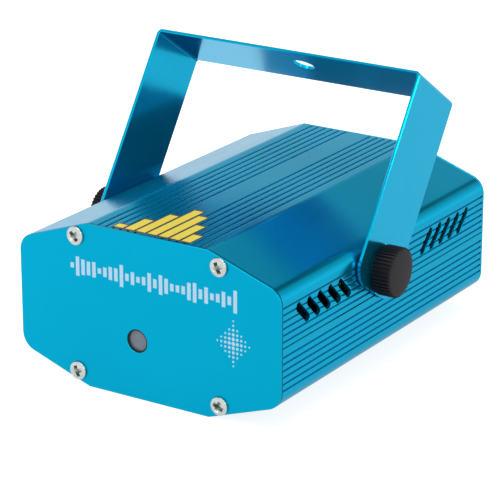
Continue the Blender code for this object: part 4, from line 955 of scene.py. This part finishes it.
def knob_rib():
    """One rib along the rim, rounded on its crest, that ends at the edge of the face."""
    half = math.pi * KNOB / RIBS * 0.6
    rings = []
    for height, crest in RIB_CRESTS:
        flank = [(crest - 0.7, half), (crest - 0.25, half * 0.7), (crest - 0.03, half * 0.35)]
        rings.append([(out, -side, height) for out, side in flank]
                     + [(out, side, height) for out, side in reversed(flank)])
    return loft("rib", rings)


for side, sign in (("right", 1), ("left", -1)):
    ribs = around.run("ribs", new_object("rib", knob_rib()), Count=RIBS, Step=360.0 / RIBS)
    knob_mesh = merged("knob", turned("knob_face", KNOB_FACE, 72), ribs)
    where = at(sign * KNOB_BASE, PIVOT.y, PIVOT.z, Matrix.Rotation(sign * math.pi / 2, 4, "Y"))
    place_piece(side + "_knurled_knob", knob_mesh, where, CHARCOAL, ["clamp_knob_" + side],
                body=side + "_knob", sharp=40)

# %% [markdown]
# ## Printing
#
# The front carries silver screen printing and the top carries yellow. Screen ink is a thin, slightly
# uneven film, so a very fine speckle moves its colour and its roughness by a little.

# %% Inks
def ink(name, colour, shade, roughness, metallic=0.0):
    finish = Finish(name, metallic=metallic)
    speckle = finish.noise(finish.place, 3000.0)
    finish.tint(speckle, shade, colour)
    finish.set("Roughness", speckle * 0.1 + roughness)
    return finish.material


SILVER_INK = ink("silver_ink", (0.32, 0.47, 0.57), (0.25, 0.39, 0.50), 0.35, 0.3)
YELLOW_INK = ink("yellow_ink", (0.50, 0.39, 0.02), (0.45, 0.35, 0.016), 0.4)
BLACK_INK = ink("black_ink", (0.02, 0.02, 0.022), (0.012, 0.012, 0.014), 0.4)
WHITE_INK = ink("white_ink", (0.80, 0.80, 0.78), (0.70, 0.70, 0.68), 0.5)
print("inks ready")

# %% [markdown]
# Both prints are drawn as plain level bars, the picture of sound that every amplifier display shows. One
# recipe does both: a row of points, an upright bar on each, and the bar's height worked out from the
# point's index. `Peak` is the height of a slope that falls to both sides, `Wave` that of two sine waves
# multiplied, and `Anchor` lifts a bar by a share of its height: half of it stands the bar on its line.

# %% Level bar recipe
INK_DEPTH = 0.06
bars = Recipe("level_bars", Count=24, Pitch=2.5, Width=1.3, Floor=1.5, Peak=0.0, Wave=5.5, Anchor=0.0,
              Lean=0.0)
bar_pitch = bars.given("Pitch")
bar_line = {"Count": bars.given("Count"), "Offset": bars.vector(bar_pitch, 0.0, 0.0)}
bar_points = bars.add("GeometryNodeMeshLine", {}, bar_line)
bar_number = bars.add("GeometryNodeInputIndex")
middle = (bars.given("Count") - 1) / 2
away = (bar_number - middle) / middle
fall = 1 - (away - bars.given("Lean")).size()
wave = ((bar_number * 1.9).wave() * (bar_number * 0.47 + 0.6).wave()).size()
height = bars.given("Floor") + fall * bars.given("Peak") + wave * bars.given("Wave")
moved = bars.vector(-1 * middle * bar_pitch, height * bars.given("Anchor"), 0.0)
bar_points = bars.add("GeometryNodeSetPosition", {}, {"Geometry": bar_points, "Offset": moved})
one_bar = bars.add("GeometryNodeMeshCube", {}, {"Size": (1.0, 1.0, INK_DEPTH)})
bar_scale = bars.vector(bars.given("Width"), height, 1.0)
bars.finish(bars.copies(bar_points, one_bar, Scale=bar_scale), SILVER_INK)

# %% [markdown]
# The front gets thirty narrow bars. On the top, seven wide ones rise to a peak, and the same seven, a
# little larger and in black, lie under them as a border.

# %% Printed bars
BARS_X, BARS_Z = 2.0, 38.0
TOP_BARS_X, TOP_BARS_Y = 0.3, 2.6


def blank(name):
    """An object without a shape, for a recipe that brings its own."""
    return new_object(name, bpy.data.meshes.new(name))


front_bars = bars.run("front_bars", blank("bars"), Count=30, Pitch=2.0, Width=1.25, Floor=1.6, Wave=5.4)
place_piece("front_bars", front_bars, at(BARS_X, -LENGTH / 2, BARS_Z, UPRIGHT), SILVER_INK)
for name, low, grow, finish in (("top_bars_border", 0.0, 0.95, BLACK_INK),
                                ("top_bars", 0.04, 0.0, YELLOW_INK)):
    top_bars = bars.run(name, blank("bars"), Count=7, Pitch=4.0, Width=3.05 + grow, Floor=4.5 + 2 * grow,
                        Peak=22.0, Wave=0.0, Anchor=0.5, Lean=0.08)
    place_piece(name, top_bars, at(TOP_BARS_X, TOP_BARS_Y - grow - LENGTH / 2, HEIGHT + low), finish)

# %% [markdown]
# ### A lozenge of dots
#
# A grid of points, of which only those inside a lozenge get a dot, and the dots shrink outwards: the
# distance from the middle, measured along the two axes and added, gives both the choice and the size.

# %% Dot recipe
DOTS_X, DOTS_Z = 30.3, 25.0
dots = Recipe("dot_lozenge", Across=11.0, Up=14.0, Columns=9, Rows=11, Dot=0.62)
field_sizes = {"Size X": dots.given("Across"), "Size Y": dots.given("Up"),
               "Vertices X": dots.given("Columns"), "Vertices Y": dots.given("Rows")}
field = dots.add("GeometryNodeMeshGrid", {}, field_sizes)
spot = dots.add("GeometryNodeInputPosition")
far_x = (dots.part(spot, "X") / dots.given("Across")).size() * 2
far_y = (dots.part(spot, "Y") / dots.given("Up")).size() * 2
far = far_x + far_y
shrink = 1 - far * 0.55
disc_sizes = {"Vertices": 16, "Radius": dots.given("Dot"), "Depth": INK_DEPTH}
disc = dots.add("GeometryNodeMeshCylinder", {}, disc_sizes)
dot_scale = dots.vector(shrink, shrink, 1.0)
dots.finish(dots.copies(field, disc, Selection=far.under(1.02), Scale=dot_scale), SILVER_INK)
place_piece("front_dots", dots.run("front_dots", blank("dots")), at(DOTS_X, -LENGTH / 2, DOTS_Z, UPRIGHT),
            SILVER_INK)

# %% [markdown]
# ### Dial marks
#
# Eleven ticks stand round the speed dial, one every 27 degrees from stop to stop.

# %% Dial ticks
TICK_IN, TICK_OUT, TICK_HALF = 5.6, 7.0, 0.15
tick_corners = [(TICK_IN, -TICK_HALF), (TICK_OUT, -TICK_HALF), (TICK_OUT, TICK_HALF), (TICK_IN, TICK_HALF)]
tick = loft("tick", [[(out, side, z) for out, side in tick_corners] for z in (-INK_DEPTH / 2, INK_DEPTH / 2)])
ticks = around.run("ticks", new_object("tick", tick), Count=11, Step=27.0, Start=-45.0)
facing_rear = Matrix.Rotation(-math.pi / 2, 4, "X")
place_piece("dial_ticks", ticks, at(DIAL_X, LENGTH / 2, CONTROLS_Z, facing_rear), WHITE_INK)

# %% [markdown]
# ## Floor and light
#
# The picture has a pure white ground, without an edge and with hardly a shadow. So the floor gives off
# light of its own over a dark grey base, because a pale base would show the shadow. It glows a little
# more on the left, which the front plate mirrors, than on the right, which the darker long side mirrors.

# %% Floor
FLOOR_HALF = 4
LEFT_GLOW, RIGHT_GLOW = (1.25, 1.25, 1.25), (0.98, 0.98, 0.98)
floor_corners = [(x * FLOOR_HALF, y * FLOOR_HALF, 0) for x, y in ((-1, -1), (1, -1), (1, 1), (-1, 1))]
floor_mesh = bpy.data.meshes.new("floor")
floor_mesh.from_pydata(floor_corners, [], [(0, 1, 2, 3)])
floor = new_object("floor", floor_mesh)
table = Finish("light_table", roughness=0.85)
rightward = table.part(table.place, "X") * 6.25 + 0.625
table.tint(rightward, LEFT_GLOW, RIGHT_GLOW, "Emission Color")
table.set("Emission Strength", 0.8)
table.tint(table.noise(table.place, 2.0), (0.22, 0.22, 0.22), (0.25, 0.25, 0.25))
floor_mesh.materials.append(table.material)
print("floor of", 2 * FLOOR_HALF, "m")

# %% [markdown]
# Three soft lamps add what the table can't: an overhead panel for the top, a weak fill for the front, and
# a small kicker from the right that picks out the broken edges.

# %% Lamps
LAMP_TARGET = Vector((0, 0, 0.03))


def soft_lamp(name, place, size, power):
    """A square lamp that faces the object."""
    data = bpy.data.lights.new(name, "AREA")
    data.shape = "SQUARE"
    data.size = size
    data.energy = power
    lamp = new_object(name, data)
    lamp.location = place
    aim(lamp, LAMP_TARGET - lamp.location)


soft_lamp("overhead", (0.1, -0.3, 1.6), 1.8, 30.0)
soft_lamp("front_fill", (1.1, -1.5, 0.7), 0.8, 6.0)
soft_lamp("edge_kicker", (1.2, -0.2, 0.9), 0.3, 3.0)
print("three lamps")

# %% [markdown]
# Metal is lit by what it reflects, so the world matters more than the lamps. It is made from the direction
# in which a ray leaves. A ramp over the height is bright near the horizon and darker above. A dark card
# hangs high up behind the object, to the right, and a broad panel before the object adds light from above.

# %% World
HEIGHT_STOPS = ((0.0, 1.55), (0.09, 1.35), (0.16, 1.1), (0.25, 1.1), (0.29, 1.0), (0.34, 0.72), (0.56, 0.72),
                (0.61, 0.405), (1.0, 0.3545))
CARD_STOPS = ((0.0, 1.0), (0.06, 0.128), (0.30, 0.128), (0.42, 1.0))
HIGH_STOPS = ((0.42, 0.0), (0.50, 1.0))
PANEL_GLOW, WORLD_STRENGTH = 0.45, 1.1
world = bpy.data.worlds.new("studio")
bpy.context.scene.world = world
world.use_nodes = True
sky = Graph(world.node_tree)
direction = sky.add("ShaderNodeTexCoord", output="Generated")
right_part, rear_part, rise = [sky.part(direction, axis) for axis in "XYZ"]
shades, card, high = [sky.add("ShaderNodeValToRGB", {"stops": stops}, {0: part}) for part, stops in
                      ((rise, HEIGHT_STOPS), (right_part, CARD_STOPS), (rise, HIGH_STOPS))]
hung_card = 1 - (1 - card) * high * rear_part.over(0.5)
front_panel = rear_part.under(0.0) * rise.over(0.25) * PANEL_GLOW
backdrop = world.node_tree.nodes["Background"]
sky.feed(backdrop.inputs["Color"], shades * hung_card + front_panel)
backdrop.inputs["Strength"].default_value = WORLD_STRENGTH
bpy.context.scene.view_settings.view_transform = "Standard"
print("world ready")
